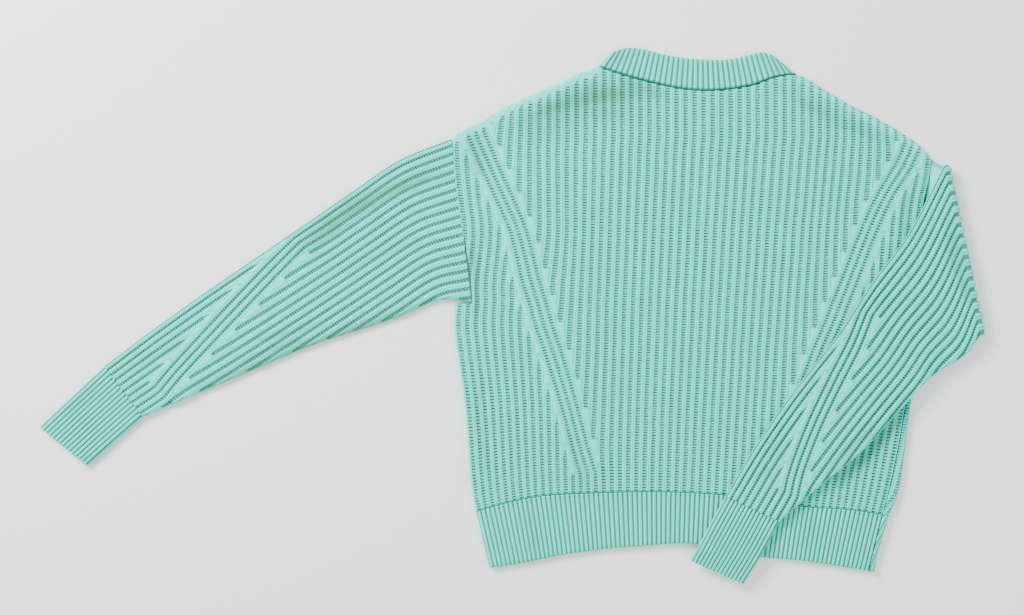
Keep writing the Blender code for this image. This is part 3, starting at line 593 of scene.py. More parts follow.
def backHemLines():
    across, off = fineColumns(hem["ribs"])
    lines = []
    for table, lift in ((hemTop, -cloth["gap"] / 2), (hemEnd, hem["scallop"] * (off - 0.25) * 2)):
        y = np.full(across.shape, -230.0)
        for _ in range(5):
            x = between(track(0, y) + cloth["gap"] / 2, sideSeam(y) - cloth["gap"] / 2, across)
            y = curve(table, x) + lift
        lines.append(np.stack([x, y], -1))
    return (*lines, off)


def fromSides(xy):
    x = xy[..., 0]
    return np.minimum(x - x[:, :1], x[:, -1:] - x)


def hemDepth(xy, share):
    return np.minimum(fromSides(xy), (1 - share) * hem["long"])


def hemHoleShade(way, off):
    # painted shade in a row of small holes where the ribs begin
    return 0.9 * (np.abs(way - hem["holes"]) < 0.9) * soft(off, 0.25, 0.42)


hemPiece = fineStrip("backHem", *backHemLines(), hem["step"], hemDepth, hemHoleShade)


def neckbandLines():
    across, off = fineColumns(neckband["ribs"])
    seamX = between(backNeck[0][0] + 0.15, backNeck[-1][0] - 0.15, across)
    topX = between(neckbandTop[0][0], neckbandTop[-1][0], across)
    seam = np.stack([seamX, curve(backNeck, seamX) + cloth["gap"]], -1)
    top = np.stack([topX, curve(neckbandTop, topX) - neckband["scallop"] * (off - 0.25) * 2], -1)
    return top, seam, off


def neckbandDepth(xy, share):
    return np.minimum(fromSides(xy), share * neckband["long"])


def neckSeamShade(way, off):
    # painted shade along the linking seam under the band
    return 0.75 * (way > way.max() - neckband["seam"]) * (1 - 0.4 * soft(off, 0.2, 0.4))


neckPiece = fineStrip("backNeckband", *neckbandLines(), neckband["step"], neckbandDepth, neckSeamShade)
for piece, node, size, rests in ((hemPiece, "back_hem", hem["flat"], "front_left_hem"),
                                 (neckPiece, "neckband_back", neckband["flat"], "neckband_left")):
    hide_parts(node)
print("hem and neckband ready")

# Fronts: the lower layer, face down. The right one turns up round the side to its seam.

front = {
    "pitch": 9.7, "perRib": 4, "step": 4.3, "relief": 1.5,
    "bandWidth": 35.0,  # of the closure between the fronts
    "sideTurn": 3.5, "turnLength": 12.7,  # how far the turned side bulges, and the cloth in its turn
}
frontHem = {"pitch": 5.2, "perRib": 4, "step": 5.0, "relief": 0.8}
centreTop, centreHem = (201.0, 217.0), (189.0, -252.0)


def centreLine(y):
    return between(centreTop[0], centreHem[0], (centreTop[1] - y) / (centreTop[1] - centreHem[1]))


def frontTop(x):
    return joined(x, leftShoulder, frontNeck, rightShoulder)


def frontEdge(side, y):
    if side < 0:
        return cloth["gap"] / 2 + np.where(y > leftUnderarm, curve(leftArmhole, y), track(0, y))
    turned = curve(rightSide, y) - front["sideTurn"]
    return np.where(y > rightUnderarm, sideSeam(y) - cloth["gap"] / 2, turned)


def frontPiece(name, side, topLine, endLine, rows, look, roundTop, roundEnd, settings):
    widest = 245.0 if side < 0 else 262.0
    count = int(widest / settings["pitch"] * settings["perRib"]) + 2
    out = np.arange(count) * settings["pitch"] / settings["perRib"]
    ribs = out / settings["pitch"]
    start = front["bandWidth"] / 2 + cloth["gap"]
    off = np.abs(ribs % 1 - 0.5)
    outer, inner, beyond, above, below = [], [], [], [], []
    for height in rows:
        y = np.full(count, float(height))
        edge = frontEdge(side, y)
        edgeOut = side * (edge - centreLine(y)) - start
        flatOut = np.minimum(out, edgeOut)
        x = centreLine(y) + side * (start + flatOut)
        top, end = topLine(x), endLine(x)
        y = np.clip(y, end, top)
        above.append(height >= top - 0.6)
        below.append(height <= end + 0.6)
        thick = np.full(count, cloth["wall"])
        if roundTop:
            thick = np.minimum(thick, rounded(top - y))
        if roundEnd:
            thick = np.minimum(thick, rounded(y - end))
        wraps = side > 0 and height < rightUnderarm
        if side < 0 and height < leftUnderarm:
            thick = np.minimum(thick, rounded(edgeOut - flatOut))
        relief = settings["relief"] * soft(off, 0.12, 0.38)
        outZ = cloth["wall"] - thick + np.minimum(relief, thick - 0.8)
        over = out - edgeOut
        outer.append(np.stack([x, y, outZ], -1))
        inner.append(np.stack([x, y, np.full(count, cloth["wall"])], -1))
        last = edgeOut
        if wraps:
            seamX = np.minimum(sideSeam(y) + cloth["gap"], edge - 1)
            angle = np.clip(over / front["turnLength"], 0, 1) * math.pi
            half = tube / 2 - relief * 0.5
            turned = over > 0
            inward = np.clip(over - front["turnLength"], 0, edge - seamX)
            wide = front["sideTurn"] * np.sin(angle)
            outer[-1][turned, 0] = (edge + wide - inward)[turned]
            outer[-1][turned, 2] = (tube / 2 - half * np.cos(angle))[turned]
            inner[-1][turned, 0] = (edge + cloth["gap"] / 2 * np.sin(angle) - inward)[turned]
            inner[-1][turned, 2] = (tube / 2 - cloth["gap"] / 2 * np.cos(angle))[turned]
            last = edgeOut + front["turnLength"] + (edge - seamX)
        beyond.append(out >= last - 0.2)
    outer, inner = np.array(outer), np.array(inner)
    beyond, above, below = np.array(beyond), np.array(above), np.array(below)
    index = np.arange(beyond.size).reshape(beyond.shape)
    firstRow = np.maximum(above.cumprod(axis=0).sum(axis=0) - 1, 0)
    lastRow = np.minimum(len(rows) - below[::-1].cumprod(axis=0).sum(axis=0), len(rows) - 1)
    at = np.clip(np.arange(len(rows))[:, None], firstRow, lastRow)
    firstBeyond = np.where(beyond.any(axis=1), beyond.argmax(axis=1), count - 1)
    index = index[at, np.arange(count)[None]]
    index = np.take_along_axis(index, np.minimum(np.arange(count)[None], firstBeyond[:, None]), 1)
    marks = {
        "across": np.broadcast_to(0.5 - off, beyond.shape), "nick": np.zeros(beyond.shape),
        "course": np.array(rows)[:, None] / look["course"] * np.ones(beyond.shape),
    }
    return shellPanel(name, outer, inner, index, marks, faceDown=side > 0)


def hemStart(x):
    return curve(hemTop, x) - cloth["gap"] / 2


def hemFinish(x):
    return curve(hemEnd, x)


for word, side in (("Left", -1), ("Right", 1)):
    rows = np.arange(276, -225, -front["step"])
    piece = frontPiece(f"front{word}", side, frontTop, bodyEnd, rows, rib, True, False, front)
    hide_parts(f"front_{word.lower()}")
    rows = np.append(np.arange(-194, -280, -frontHem["step"]), -283)
    piece = frontPiece(f"front{word}Hem", side, hemStart, hemFinish, rows, fineRib, False, True, frontHem)
    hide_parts(f"front_{word.lower()}_hem")

# Front closure and the neckband's two front stretches: fine ribs facing down

closure = {
    "ribs": 7, "row": 1.7, "relief": 0.8,
    "holeBand": 2.9,  # thickness of the lower band
    "buttons": 6, "top": 204.0, "bottom": -238.0,  # how many, and where the first and the last one are
    "bed": 1.9,  # depth of the bed that a button lies in
}
button = {
    "radius": 7.5, "thick": 1.6, "turns": 72, "rings": 26, "rim": 1.4, "dish": 0.5,
    "holesAt": 1.5, "hole": 1.25,  # from its middle, and their depth
    "thread": 0.36, "threadEnd": 1.6, "threadOver": 0.15,  # half its width, half its length, its depth
}
frontNeckband = {"ribs": 17, "row": 1.6}
buttonHeights = np.linspace(closure["top"], closure["bottom"], closure["buttons"])


def downStrip(name, xy, off, floorAt, thick, beds=False):
    # xy is a grid of points; the knit side faces down
    lift = np.minimum(closure["relief"] * soft(off, 0.12, 0.4) * np.ones(xy.shape[:2]), thick * 0.4)
    if floorAt > 0:
        lift = lift * 0
    x, y = xy[..., 0], xy[..., 1]
    if beds:
        for height in buttonHeights:
            away = np.hypot(x - centreLine(height), y - height)
            inBed = 1 - soft(away, button["radius"] + cloth["gap"], button["radius"] + 1.2)
            lift = np.maximum(lift, closure["bed"] * inBed)
    outer = np.dstack([x, y, floorAt + lift])
    inner = np.dstack([x, y, np.full(x.shape, floorAt + thick)])
    index = np.arange(x.size).reshape(x.shape)
    marks = {
        "across": off * np.ones(x.shape), "nick": np.zeros(x.shape),
        "course": np.arange(len(x))[:, None] * closure["row"] / fineRib["course"] * np.ones(x.shape),
    }
    piece = shellPanel(name, outer, inner, index, marks)
    turnOut(piece)
    return piece


def bandGrid():
    across, off = fineColumns(closure["ribs"])
    first, last = centreTop[1] - 1, float(curve(hemEnd, centreLine(-252)))
    y = np.linspace(first, last, int((first - last) / closure["row"]))[:, None] * np.ones(len(across))
    x = centreLine(y) + (across - 0.5) * front["bandWidth"]
    return np.dstack([x, y]), off


def frontNeckGrid(table, side):
    across, off = fineColumns(frontNeckband["ribs"])
    corner = frontNeck[0][0] if side < 0 else frontNeck[-1][0]
    toBand = side * (front["bandWidth"] / 2 + cloth["gap"])
    seamX = between(corner, centreLine(frontNeck[4][1]) + toBand, across**2)
    seamY = frontTop(seamX)
    slope = np.gradient(seamY, seamX)
    long = np.hypot(1, slope)
    free = through(table, seamX)
    seam = np.stack([seamX - 1.3 * cloth["gap"] * slope / long, seamY + 1.3 * cloth["gap"] / long], -1)
    seam[-1, 0], free[-1, 0] = (centreLine(line[-1, 1]) + toBand for line in (seam, free))
    share = np.linspace(0, 1, int(30 / frontNeckband["row"]))[:, None, None]
    return seam[None] + (free - seam)[None] * share, off


def makeButton(name, height):
    # turned, with a rim, a shallow dish, four holes and a cross of thread; face down
    turns, rings = button["turns"], button["rings"]
    radius = np.linspace(0, button["radius"], rings)[:, None] * np.ones(turns + 1)
    angle = np.linspace(0, math.tau, turns + 1)[None] * np.ones((rings, 1))
    x, y = radius * np.cos(angle), radius * np.sin(angle)
    edge = button["radius"] - radius
    z = button["dish"] * soft(edge, button["rim"] - 0.4, button["rim"] + 0.5)
    z = z + 0.4 * (1 - np.sqrt(np.clip(1 - (1 - np.clip(edge / 0.5, 0, 1)) ** 2, 0, 1)))
    for turn in np.arange(0.25, 2, 0.5) * math.pi:
        away = np.hypot(x - button["holesAt"] * math.cos(turn), y - button["holesAt"] * math.sin(turn))
        z = np.maximum(z, button["hole"] * (1 - soft(away, 0.5, 0.85)))
    thread = np.zeros(x.shape)
    for sign in (-1, 1):
        along, beside = (x + sign * y) / math.sqrt(2), (x - sign * y) / math.sqrt(2)
        stretch = (np.abs(beside) < button["thread"]) * (np.abs(along) < button["threadEnd"])
        thread = np.maximum(thread, stretch)
    z = np.where(thread > 0, np.minimum(z, button["threadOver"]), z)
    index = np.arange(x.size).reshape(x.shape)
    index[:, -1] = index[:, 0]
    index[0] = index[0, 0]
    x, y = x + centreLine(height), y + height
    outer = np.dstack([x, y, z])
    inner = np.dstack([x, y, np.full(x.shape, button["thick"])])
    piece = shellPanel(name, outer, inner, index, {"thread": thread})
    turnOut(piece)
    return piece


bandXy, bandOff = bandGrid()
upper = closure["holeBand"] + cloth["gap"]
for name, node, floorAt, thick, rests in (
        ("holeBand", "buttonhole_band", 0.0, closure["holeBand"], "floor"),
        ("buttonBand", "button_band", upper, cloth["wall"] - upper, "holeBand")):
    piece = downStrip(name, bandXy, bandOff, floorAt, thick, beds=name == "holeBand")
    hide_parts(node)
for word, side, table in (("Left", -1, leftNeckband), ("Right", 1, rightNeckband)):
    xy, off = frontNeckGrid(table, side)
    piece = downStrip(f"neckband{word}", xy, off, 0.0, cloth["wall"])
    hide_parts(f"neckband_{word.lower()}")
for number, height in enumerate(buttonHeights, 1):
    piece = makeButton(f"button{number}", height)
    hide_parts(f"button_{number}")
print("fronts ready")

# Sleeves and cuffs: flattened tubes, fine on the side that shows

sag = {"start": 4.0, "slope": 0.22, "most": 6.0}  # of the folded sleeve where nothing lies under it
turnedUnder = {"ribs": 0.85, "over": 0.9}  # ribs lost round a tube's edge, and over how many
sleevePitch = 8.3
hiddenMark = 0.15  # what the marks say on a sleeve's plain side


def sagAt(x, y):
    body = curve(rightSide, y)
    start, end = np.array(rightArmhole[2:4]), np.array(rightSleeve[0][3:5])
    along = (end - start) / np.hypot(*(end - start))
    underSleeve = (x - start[0]) * along[1] - (y - start[1]) * along[0]
    beside = np.minimum(x - body, underSleeve)
    pastHem = curve(hemEnd, np.clip(x, -26, 400)) - y
    loose = np.maximum(np.maximum(beside, pastHem) - sag["start"], 0)
    return sag["most"] * (1 - np.exp(-sag["slope"] * loose / sag["most"]))


def squeezed(ribs):
    # the first ribs turn under at the tube's edge
    return ribs - turnedUnder["ribs"] + turnedUnder["ribs"] * np.exp(-ribs / turnedUnder["over"])


def tubePoints(xy, height, turn):
    # turn runs from 0 before the fold to pi after it; height is the one in the unfolded tube
    radius = foldAxis - height
    x = xy[..., 0] + radius * np.sin(turn) * foldOut[0]
    y = xy[..., 1] + radius * np.sin(turn) * foldOut[1]
    sunk = sagAt(x, y) * (1 - np.cos(turn)) / 2
    return np.stack(np.broadcast_arrays(x, y, foldAxis - radius * np.cos(turn) - sunk), -1)


def sectionPoints(table, way, places):
    section = through(table, way)
    return section[..., 0:2] + (section[..., 2:4] - section[..., 0:2]) * places[..., None]


def sleeveRows(sleeve):
    # rows of stitches square to the ribs; where one would pass an end of the sleeve, it stays on that end
    table, band, knit = sleeve["table"], sleeve["band"], sleeve["knit"]
    ribsWay = np.array(sleeve["ribsWay"]) / np.hypot(*sleeve["ribsWay"])
    step = knit["course"] / 2
    first, last = (np.array([row[k:k + 2] for k in (1, 3)]) @ ribsWay for row in (table[0], table[-1]))
    phases = np.arange(first.min(), last.max() + step, step)
    wayEnd = table[-1][0]
    count = sleeve["columns"] * perRib + 1
    newRibs = band[3] if band else 0

    def widthAt(way):
        section = through(table, way)
        span = section[..., 2:4] - section[..., 0:2]
        return np.abs(span[..., 0] * ribsWay[1] - span[..., 1] * ribsWay[0])

    def solved(ribs, phase):
        # way along the sleeve and place across it where these ribs meet this row
        way = np.zeros(ribs.shape) + phase - first.min()
        for _ in range(14):
            held = np.clip(way, 0, wayEnd)
            if band:
                places = squeezed(ribs) * through(table, held)[..., 4] / widthAt(held)
            else:
                places = ribs / sleeve["columns"]
            places = np.clip(places, 0, 1)
            way = way + 0.9 * (phase - sectionPoints(table, held, places) @ ribsWay)
        return way, places

    rows = []
    for number, phase in enumerate(phases):
        bandRow, shift = -99.0, 0.0
        if band:
            middle = 4.0
            for _ in range(3):
                bandRow = float(bandRowAt(solved(np.array([middle]), phase)[0][0], band))
                middle = 3.5 + np.clip(bandRow, 0, 2 * newRibs) / 2
        placed = ribs = ribPlaces(count, bandRow, newRibs, knit["shares"])
        if band:
            shift = courseShift(ribs, bandRow, newRibs, sleevePitch)
            placed = ribs + bandPull(ribs, bandRow, newRibs)
        way, places = solved(placed, phase - shift)
        width = widthAt(np.clip(way, 0, wayEnd))
        beyond = places > 1 - 1.0 / width
        places = np.where(beyond, 1.0, places)
        places[-1] = 1.0
        beyond[-1] = True
        off, nick = ribMarks(ribs, bandRow, newRibs)
        if not band:
            # on a cuff, painted shade in a row of small holes where the ribs begin
            nick = 0.9 * (np.abs(way - hem["holes"]) < 0.7 * step) * soft(off, 0.25, 0.42)
        relief = stitchHeight(off, number % 2, knit) - cloth["wall"]
        side = tubeSide(np.minimum(places, 1 - places) * width)
        rows.append({
            "xy": sectionPoints(table, np.clip(way, 0, wayEnd), places),
            "height": side + relief * soft(side, 1, tube / 2), "off": off, "nick": nick,
            "before": way < 0.35 * step, "after": way > wayEnd - 0.35 * step, "beyond": beyond,
            "course": np.full(count, phase / knit["course"]),
            "key": bandKey(bandRow, newRibs),
        })
    return {key: np.array([row[key] for row in rows]) for key in rows[0]}


def sleeveIndex(rows):
    # numbers of the points of each row, where those past an edge or an end are the last ones before it
    count, size = rows["height"].shape
    index = np.arange(count * size).reshape(count, size)
    firstRow = np.maximum(rows["before"].cumprod(axis=0).sum(axis=0) - 1, 0)
    lastRow = np.minimum(count - rows["after"][::-1].cumprod(axis=0).sum(axis=0), count - 1)
    at = np.clip(np.arange(count)[:, None], firstRow, lastRow)
    edge = index[at[:, -1], -1]
    index = np.where(rows["beyond"], edge[:, None], index)
    return index[at, np.arange(size)[None]]


def zipUp(first, second):
    # triangles between two rows with unlike counts of points
    i = j = 0
    triangles = []
    while i < len(first) - 1 or j < len(second) - 1:
        behind = (i + 1) * (len(second) - 1) <= (j + 1) * (len(first) - 1)
        if j == len(second) - 1 or i < len(first) - 1 and behind:
            triangles.append((first[i], first[i + 1], second[j]))
            i += 1
        else:
            triangles.append((first[i], second[j + 1], second[j]))
            j += 1
    return [t for t in triangles if len(set(t)) == 3]


def sleeveTube(name, sleeve):
    rows = sleeveRows(sleeve)
    index = sleeveIndex(rows)
    xy, height, turn = rows["xy"], rows["height"], np.full(len(index), sleeve["turns"][-1])
    marks = {"across": rows["off"], "course": rows["course"], "nick": rows["nick"]}
    leans = np.diff(rows["key"]) != 0
    if len(sleeve["turns"]) > 1:
        # the stretch before the fold, and the fold itself
        start = index[0]
        turns = np.array(sleeve["turns"][:-1])
        foldXy, foldHeight = xy.reshape(-1, 2)[start], height.ravel()[start]
        under = sleeve["underArmhole"]
        armhole = between(np.array(under[:2]), np.array(under[2:4]), np.linspace(0, 1, len(start))[:, None])
        armhole[:, 0] = sideSeam(armhole[:, 1]) + cloth["gap"] / 2
        extra = np.concatenate([armhole[None], np.repeat(foldXy[None], len(turns) - 1, axis=0)])
        flat = np.minimum(foldHeight, tube / 2)
        extraHeight = np.array([between(flat, foldHeight, soft(angle, 0.3, 1.2)) for angle in turns])
        xy, height = np.concatenate([extra, xy]), np.concatenate([extraHeight, height])
        turn = np.concatenate([turns, turn])
        fresh = np.arange(extraHeight.size).reshape(extraHeight.shape)
        ends = fresh[:, -1:]
        fresh = np.where(rows["beyond"].ravel()[start] | (start == start[-1]), ends, fresh)
        index = np.concatenate([fresh, index + extraHeight.size])
        leans = np.concatenate([np.zeros(len(turns), bool), leans])
        climb = -foldAxis * turns[:, None] / rib["course"] + (foldAxis * math.pi / rib["course"])
        for key, values in marks.items():
            head = np.repeat(values.ravel()[start][None], len(turns), axis=0)
            marks[key] = np.concatenate([head - climb if key == "course" else head, values])
    sign = -1 if turn[-1] > 1 else 1  # a folded sleeve shows its other side
    angle = turn[:, None]
    crease = 0.4 * waves(xy[..., 0], xy[..., 1], sleeve["seed"], 75) - creaseAt(name, xy[..., 0], xy[..., 1])
    crease = crease * soft(height, 1.5, 4) * soft(np.abs(angle - turn[-1]), 0.6, 0)
    fineSide = tubePoints(xy, tube / 2 + sign * (height + crease), angle)
    flatXy = xy.reshape(-1, 2)
    edges = flatXy[index[:, 0]], flatXy[index[:, -1]]
    width = np.hypot(*(edges[1] - edges[0]).T)[:, None]

    def across(share, over):
        points = edges[0][:, None] + (edges[1] - edges[0])[:, None] * share[..., None]
        return tubePoints(points, tube / 2 + sign * over, angle)

    share = np.broadcast_to(np.linspace(0, 1, sleeve["plain"] + 1)[1:-1], (len(index), sleeve["plain"] - 1))
    hidden = across(share, -tubeSide(np.minimum(share, 1 - share) * width))
    inset = cloth["edge"] / width
    share = between(inset, 1 - inset, np.linspace(0, 1, sleeve["plain"] + 1)[None])
    slit = [across(share, side * cloth["gap"] / 2) for side in (1, -1)]
    blocks = [fineSide, hidden[:, ::-1], slit[0], slit[1][:, ::-1]]
    starts = np.cumsum([0] + [block[..., 0].size for block in blocks])
    hiddenAt, slitTop, slitEnd = (
        starts[k] + np.arange(blocks[k][..., 0].size).reshape(blocks[k].shape[:2]) for k in (1, 2, 3)
    )
    hiddenAt = np.hstack([index[:, -1:], hiddenAt, index[:, :1]])
    slitAt = np.hstack([slitTop, slitEnd, slitTop[:, :1]])
    faces = [gridTriangles(index, np.broadcast_to(leans[:, None], (len(index) - 1, index.shape[1] - 1)))]
    for at in (hiddenAt, slitAt):
        faces.append(gridTriangles(at, np.zeros((len(at) - 1, at.shape[1] - 1), bool)))
    for row in (0, -1):
        faces.append(zipUp(index[row].tolist(), slitTop[row].tolist()))
        faces.append(zipUp(hiddenAt[row].tolist(), slitEnd[row].tolist()))
        faces.append([(index[row, 0], slitTop[row, 0], slitEnd[row, -1])])
        faces.append([(index[row, -1], slitTop[row, -1], slitEnd[row, 0])])
    points = np.concatenate([block.reshape(-1, 3) for block in blocks])
    fineEnd = starts[1]
    plain = np.full(starts[-1] - fineEnd, hiddenMark)
    marks = {key: np.concatenate([values.ravel(), plain]) for key, values in marks.items()}
    rowCourse = marks["course"][:fineEnd].reshape(index.shape)[:, :1]
    plainCourses = [np.repeat(rowCourse, grid.shape[1], axis=1).ravel() for grid in blocks[1:]]
    marks["course"][fineEnd:] = np.concatenate(plainCourses)
    piece = makePiece(name, points, faces, marks)
    turnOut(piece)
    return piece


sleeves = {
    "sleeveLeft": {
        "node": "sleeve_left", "table": leftSleeve, "band": leftSleeveBand, "knit": rib, "columns": 22,
        "ribsWay": (-0.82, -0.57), "turns": (0.0,), "plain": 12, "seed": 8,
        "flat": (0.37, 0.47), "area": 0.12, "rests": ["floor"],
    },
    "sleeveRight": {
        "node": "sleeve_right", "table": rightSleeve, "band": rightSleeveBand, "knit": rib, "columns": 22,
        "ribsWay": (-0.54, -0.84), "turns": tuple(np.radians((0, 0.01, 30, 60, 90, 120, 150, 180))),
        "plain": 12, "seed": 9, "underArmhole": rightArmhole,
        "flat": (0.37, 0.47), "area": 0.12, "rests": ["back"],
    },
    "cuffLeft": {
        "node": "cuff_left", "table": leftCuff, "band": None, "knit": fineRib, "columns": 15,
        "ribsWay": (-0.72, -0.69), "turns": (0.0,), "plain": 8, "seed": 10,
        "flat": (0.14, 0.09), "area": None, "rests": ["floor"],
    },
    "cuffRight": {
        "node": "cuff_right", "table": rightCuff, "band": None, "knit": fineRib, "columns": 15,
        "ribsWay": (-0.47, -0.88), "turns": (math.pi,), "plain": 8, "seed": 11,
        "flat": (0.135, 0.08), "area": None, "rests": ["back_hem"],
    },
}
for name, sleeve in sleeves.items():
    piece = sleeveTube(name, sleeve)
    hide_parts(sleeve["node"])
    print(name, len(piece.data.polygons), "faces")

# Wool


class Wool:
    def __init__(self, tree, socket=None):
        self.tree, self.socket = tree, socket

    def node(self, kind, settings=None, values=None, out=0):
        node = self.tree.nodes.new(kind)
        for key, value in (settings or {}).items():
            setattr(node, key, value)
        for key, value in (values or {}).items():
            if isinstance(value, Wool):
                self.tree.links.new(value.socket, node.inputs[key])
            else:
                node.inputs[key].default_value = value
        return Wool(self.tree, node.outputs[out] if node.outputs else None)

    def maths(self, operation, *terms):
        return self.node("ShaderNodeMath", {"operation": operation}, dict(enumerate(terms)))

    def __add__(self, other):
        return self.maths("ADD", self, other)

    def __mul__(self, other):
        return self.maths("MULTIPLY", self, other)

    def __sub__(self, other):
        return self.maths("SUBTRACT", self, other)

    def __rsub__(self, other):
        return self.maths("SUBTRACT", other, self)

    __radd__, __rmul__ = __add__, __mul__

    def between(self, low, high):
        # 0 below low and 1 above high
        return self.node("ShaderNodeMapRange", {"interpolation_type": "SMOOTHSTEP"},
                         {"Value": self, "From Min": low, "From Max": high})

    def tint(self, first, second):
        return self.node("ShaderNodeMix", {"data_type": "RGBA"}, {0: self, 6: first, 7: second}, out=2)


# Lit and shaded copies of the one mint wool: a painted highlight, the wool's own tone, painted shade, painted
# deep shade for holes and dark stitches, and painted olive shade for creases and soft patches
colours = {
    "highlight": (0.045, 0.90, 0.70, 1), "wool": (0.035, 0.66, 0.50, 1),
    "shade": (0.03, 0.32, 0.24, 1), "deep": (0.012, 0.10, 0.07, 1), "oliveShade": (0.06, 0.24, 0.14, 1),
}


def woolMaterial(name, looks):
    material = bpy.data.materials.new(name)
    material.use_nodes = True
    tree = material.node_tree
    shader = tree.nodes["Principled BSDF"]
    wool = Wool(tree)

    def mark(key):
        return wool.node("ShaderNodeAttribute", {"attribute_name": key}, out=2)

    def noise(scale, detail=3.0):
        return wool.node("ShaderNodeTexNoise", None, {"Vector": place, "Scale": scale, "Detail": detail})

    across, course, nick, crease = mark("across"), mark("course"), mark("nick"), mark("shade")
    place = wool.node("ShaderNodeTexCoord", out=3)
    large, stitch, fuzz = noise(14.0), noise(230.0), noise(1500.0, 4.0)
    course = course + (stitch - 0.5) * looks["wander"]
    line = wool.maths("PINGPONG", course, 0.5)  # 0 on the line between two rows, 0.5 halfway
    ladder = across.between(looks["ladder"], looks["ladder"] + 0.10)
    inner = across.between(looks["ladder"] + 0.02, looks["ladder"] + 0.13)
    # Painted shade: a dark dash between the ladder's bars in each row, dark dots down a rib's middle groove,
    # and the darkest spots within the dashes
    dash = inner * (1 - line.between(looks["dash"], looks["dash"] + 0.16))
    leg = (1 - ladder) * across.between(0.03, 0.09)
    groove = (1 - across.between(0.02, 0.08)) * (1 - line.between(0.14, 0.34))
    hole = dash * stitch.between(0.18, 0.62)
    # Painted highlight: the rib's legs, and the ladder's bars halfway through each row, are lighter than the
    # wool's own tone
    colour = leg.tint(colours["wool"], colours["highlight"])
    colour = (ladder * line.between(0.2, 0.5) * 0.5).tint(colour, colours["highlight"])
    # Painted shade in the furrow beside each rib, in the groove and in the dashes
    side = across.between(looks["ladder"] - 0.03, looks["ladder"] + 0.09) * looks["furrow"]
    colour = (groove * looks["groove"] + dash * 0.35 + side).tint(colour, colours["shade"])
    # Painted olive shade in the creases, and in soft patches at random
    oliveShade = large.between(0.55, 0.8) * 0.12 + crease * (0.40 + ladder * 0.18)
    colour = oliveShade.tint(colour, colours["oliveShade"])
    # Painted deep shade in the holes, and on the dark stitches where ladders start and end, where rows of
    # holes begin and where the neckband's seam runs
    colour = (hole * looks["depth"] + nick).between(0.0, 1.1).tint(colour, colours["deep"])
    tree.links.new(colour.socket, shader.inputs["Base Color"])
    height = fuzz * 0.6 + stitch * 0.4
    bump = wool.node("ShaderNodeBump", None, {"Height": height, "Distance": 0.0008, "Strength": 0.5})
    tree.links.new(bump.socket, shader.inputs["Normal"])
    shader.inputs["Roughness"].default_value = 0.95
    shader.inputs["Sheen Weight"].default_value = 0.15
    shader.inputs["Sheen Roughness"].default_value = 0.6
    shader.inputs["Sheen Tint"].default_value = (0.2, 0.9, 0.75, 1)
    shader.inputs["Specular IOR Level"].default_value = 0.05
    return material


def buttonMaterial():
    material = bpy.data.materials.new("mint pearl")
    material.use_nodes = True
    tree = material.node_tree
    shader = tree.nodes["Principled BSDF"]
    wool = Wool(tree)
    place = wool.node("ShaderNodeTexCoord", out=3)
    cloudy = wool.node("ShaderNodeTexNoise", None, {"Vector": place, "Scale": 260.0, "Distortion": 1.4})
    thread = wool.node("ShaderNodeAttribute", {"attribute_name": "thread"}, out=2)
    colour = cloudy.between(0.35, 0.7).tint((0.12, 0.55, 0.42, 1), (0.28, 0.75, 0.62, 1))
    tree.links.new(thread.tint(colour, colours["wool"]).socket, shader.inputs["Base Color"])
    rough = thread * 0.6 + cloudy * 0.1 + 0.22
    tree.links.new(rough.socket, shader.inputs["Roughness"])
    return material


# How far the rows wander, how high the painted dark dashes are, how dark the painted shade of groove,
# dashes and furrow is, and how far from a rib's middle its ladder starts; the sleeves' copy paints darker
# furrows
ribLooks = {"wander": 0.35, "dash": 0.12, "groove": 0.6, "depth": 1.35, "furrow": 0.16, "ladder": 0.16}
sleeveLooks = {"wander": 0.35, "dash": 0.12, "groove": 0.5, "depth": 1.5, "furrow": 0.75, "ladder": 0.24}
fineLooks = {"wander": 0.3, "dash": 0.3, "groove": 0.25, "depth": 0.3, "furrow": 0.85, "ladder": 0.25}
wools = {
    "knit": woolMaterial("mint rib", ribLooks), "sleeve": woolMaterial("mint sleeve rib", sleeveLooks),
    "fine": woolMaterial("mint fine rib", fineLooks),
}
pearl = buttonMaterial()
fine = ("cuff", "hem", "neck", "band")
for thing in bpy.context.scene.objects:
    if thing.type != "MESH" or thing.data.materials:
        continue
    if thing.name[:6] == "button" and thing.name[6:].isdigit():
        thing.data.materials.append(pearl)
    else:
        isFine = any(word in thing.name.lower() for word in fine)
        kind = "fine" if isFine else "sleeve" if "sleeve" in thing.name else "knit"
        thing.data.materials.append(wools[kind])
print("wool ready")

# Stage, light and camera

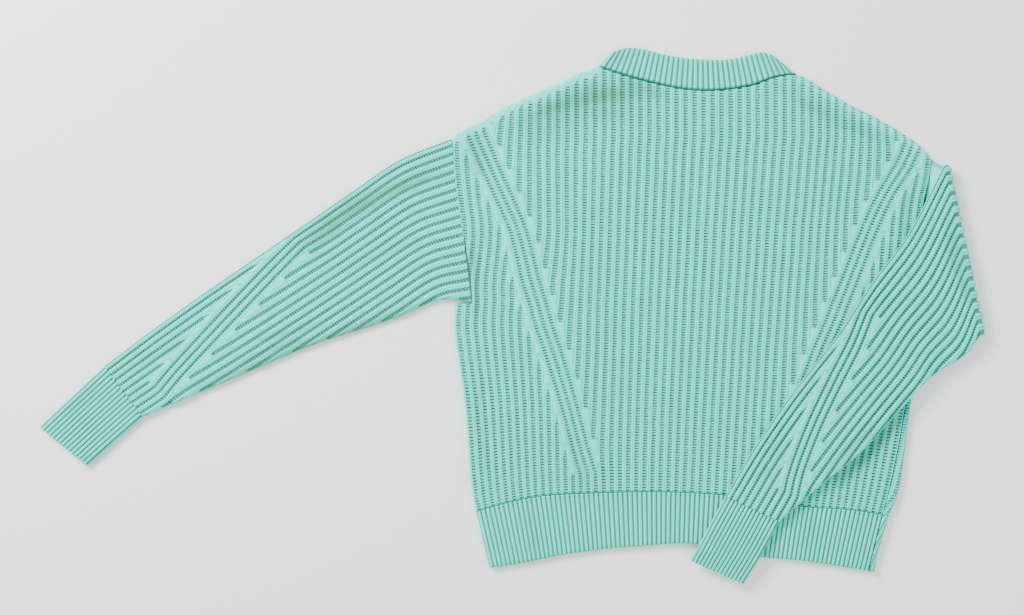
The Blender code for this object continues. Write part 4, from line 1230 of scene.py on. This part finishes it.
# The camera looks straight down, and its frame is this wide at the middle of the cloth's height
stage = {
    "lift": 1.8, "centre": (0.0, 0.0088), "frameWidth": 1.1264, "middle": 0.009,  # metres
    "sensor": 36.0,  # millimetres
    "floor": 3.0,  # half its side, in metres
    "world": 1.12,  # strength of the light from all round
}

floorMesh = bpy.data.meshes.new("floor")
corners = [(x * stage["floor"], y * stage["floor"], 0) for x, y in ((-1, -1), (1, -1), (1, 1), (-1, 1))]
floorMesh.from_pydata(corners, [], [(0, 1, 2, 3)])
floor = bpy.data.objects.new("floor", floorMesh)
bpy.context.scene.collection.objects.link(floor)
pale = bpy.data.materials.new("pale floor")
pale.use_nodes = True
pale.node_tree.nodes["Principled BSDF"].inputs["Base Color"].default_value = (0.96, 0.96, 0.96, 1)
floorMesh.materials.append(pale)
floor.location.z = -0.2 * mm  # just clear of the cloth

cameraData = bpy.data.cameras.new("camera")
cameraData.sensor_width = stage["sensor"]
cameraData.lens = stage["sensor"] * (stage["lift"] - stage["middle"]) / stage["frameWidth"]
camera = bpy.data.objects.new("camera", cameraData)
camera.location = (*stage["centre"], stage["lift"])
bpy.context.scene.collection.objects.link(camera)
bpy.context.scene.camera = camera

lamps = {
    "key": {"at": (-1.3, 1.3, 1.5), "size": 0.9, "power": 104},
    "fill": {"at": (1.4, -0.6, 1.8), "size": 2.0, "power": 17},
}
for name, lamp in lamps.items():
    data = bpy.data.lights.new(name, "AREA")
    data.size = lamp["size"]
    data.energy = lamp["power"]
    light = bpy.data.objects.new(name, data)
    light.location = lamp["at"]
    aim = -np.array(lamp["at"])
    light.rotation_euler = (
        math.atan2(math.hypot(aim[0], aim[1]), -aim[2]), 0, math.atan2(aim[1], aim[0]) - math.pi / 2
    )
    bpy.context.scene.collection.objects.link(light)
world = bpy.data.worlds.new("studio")
world.use_nodes = True
world.node_tree.nodes["Background"].inputs["Color"].default_value = (1, 1, 1, 1)
world.node_tree.nodes["Background"].inputs["Strength"].default_value = stage["world"]
bpy.context.scene.world = world
print("stage ready")

pieces = [thing for thing in bpy.context.scene.objects if thing.type == "MESH" and not thing.hide_render]
counts = {thing.name: sum(len(face.vertices) - 2 for face in thing.data.polygons) for thing in pieces}
print("triangles:", sum(counts.values()), "in all, at most", max(counts.values()), "in one piece")
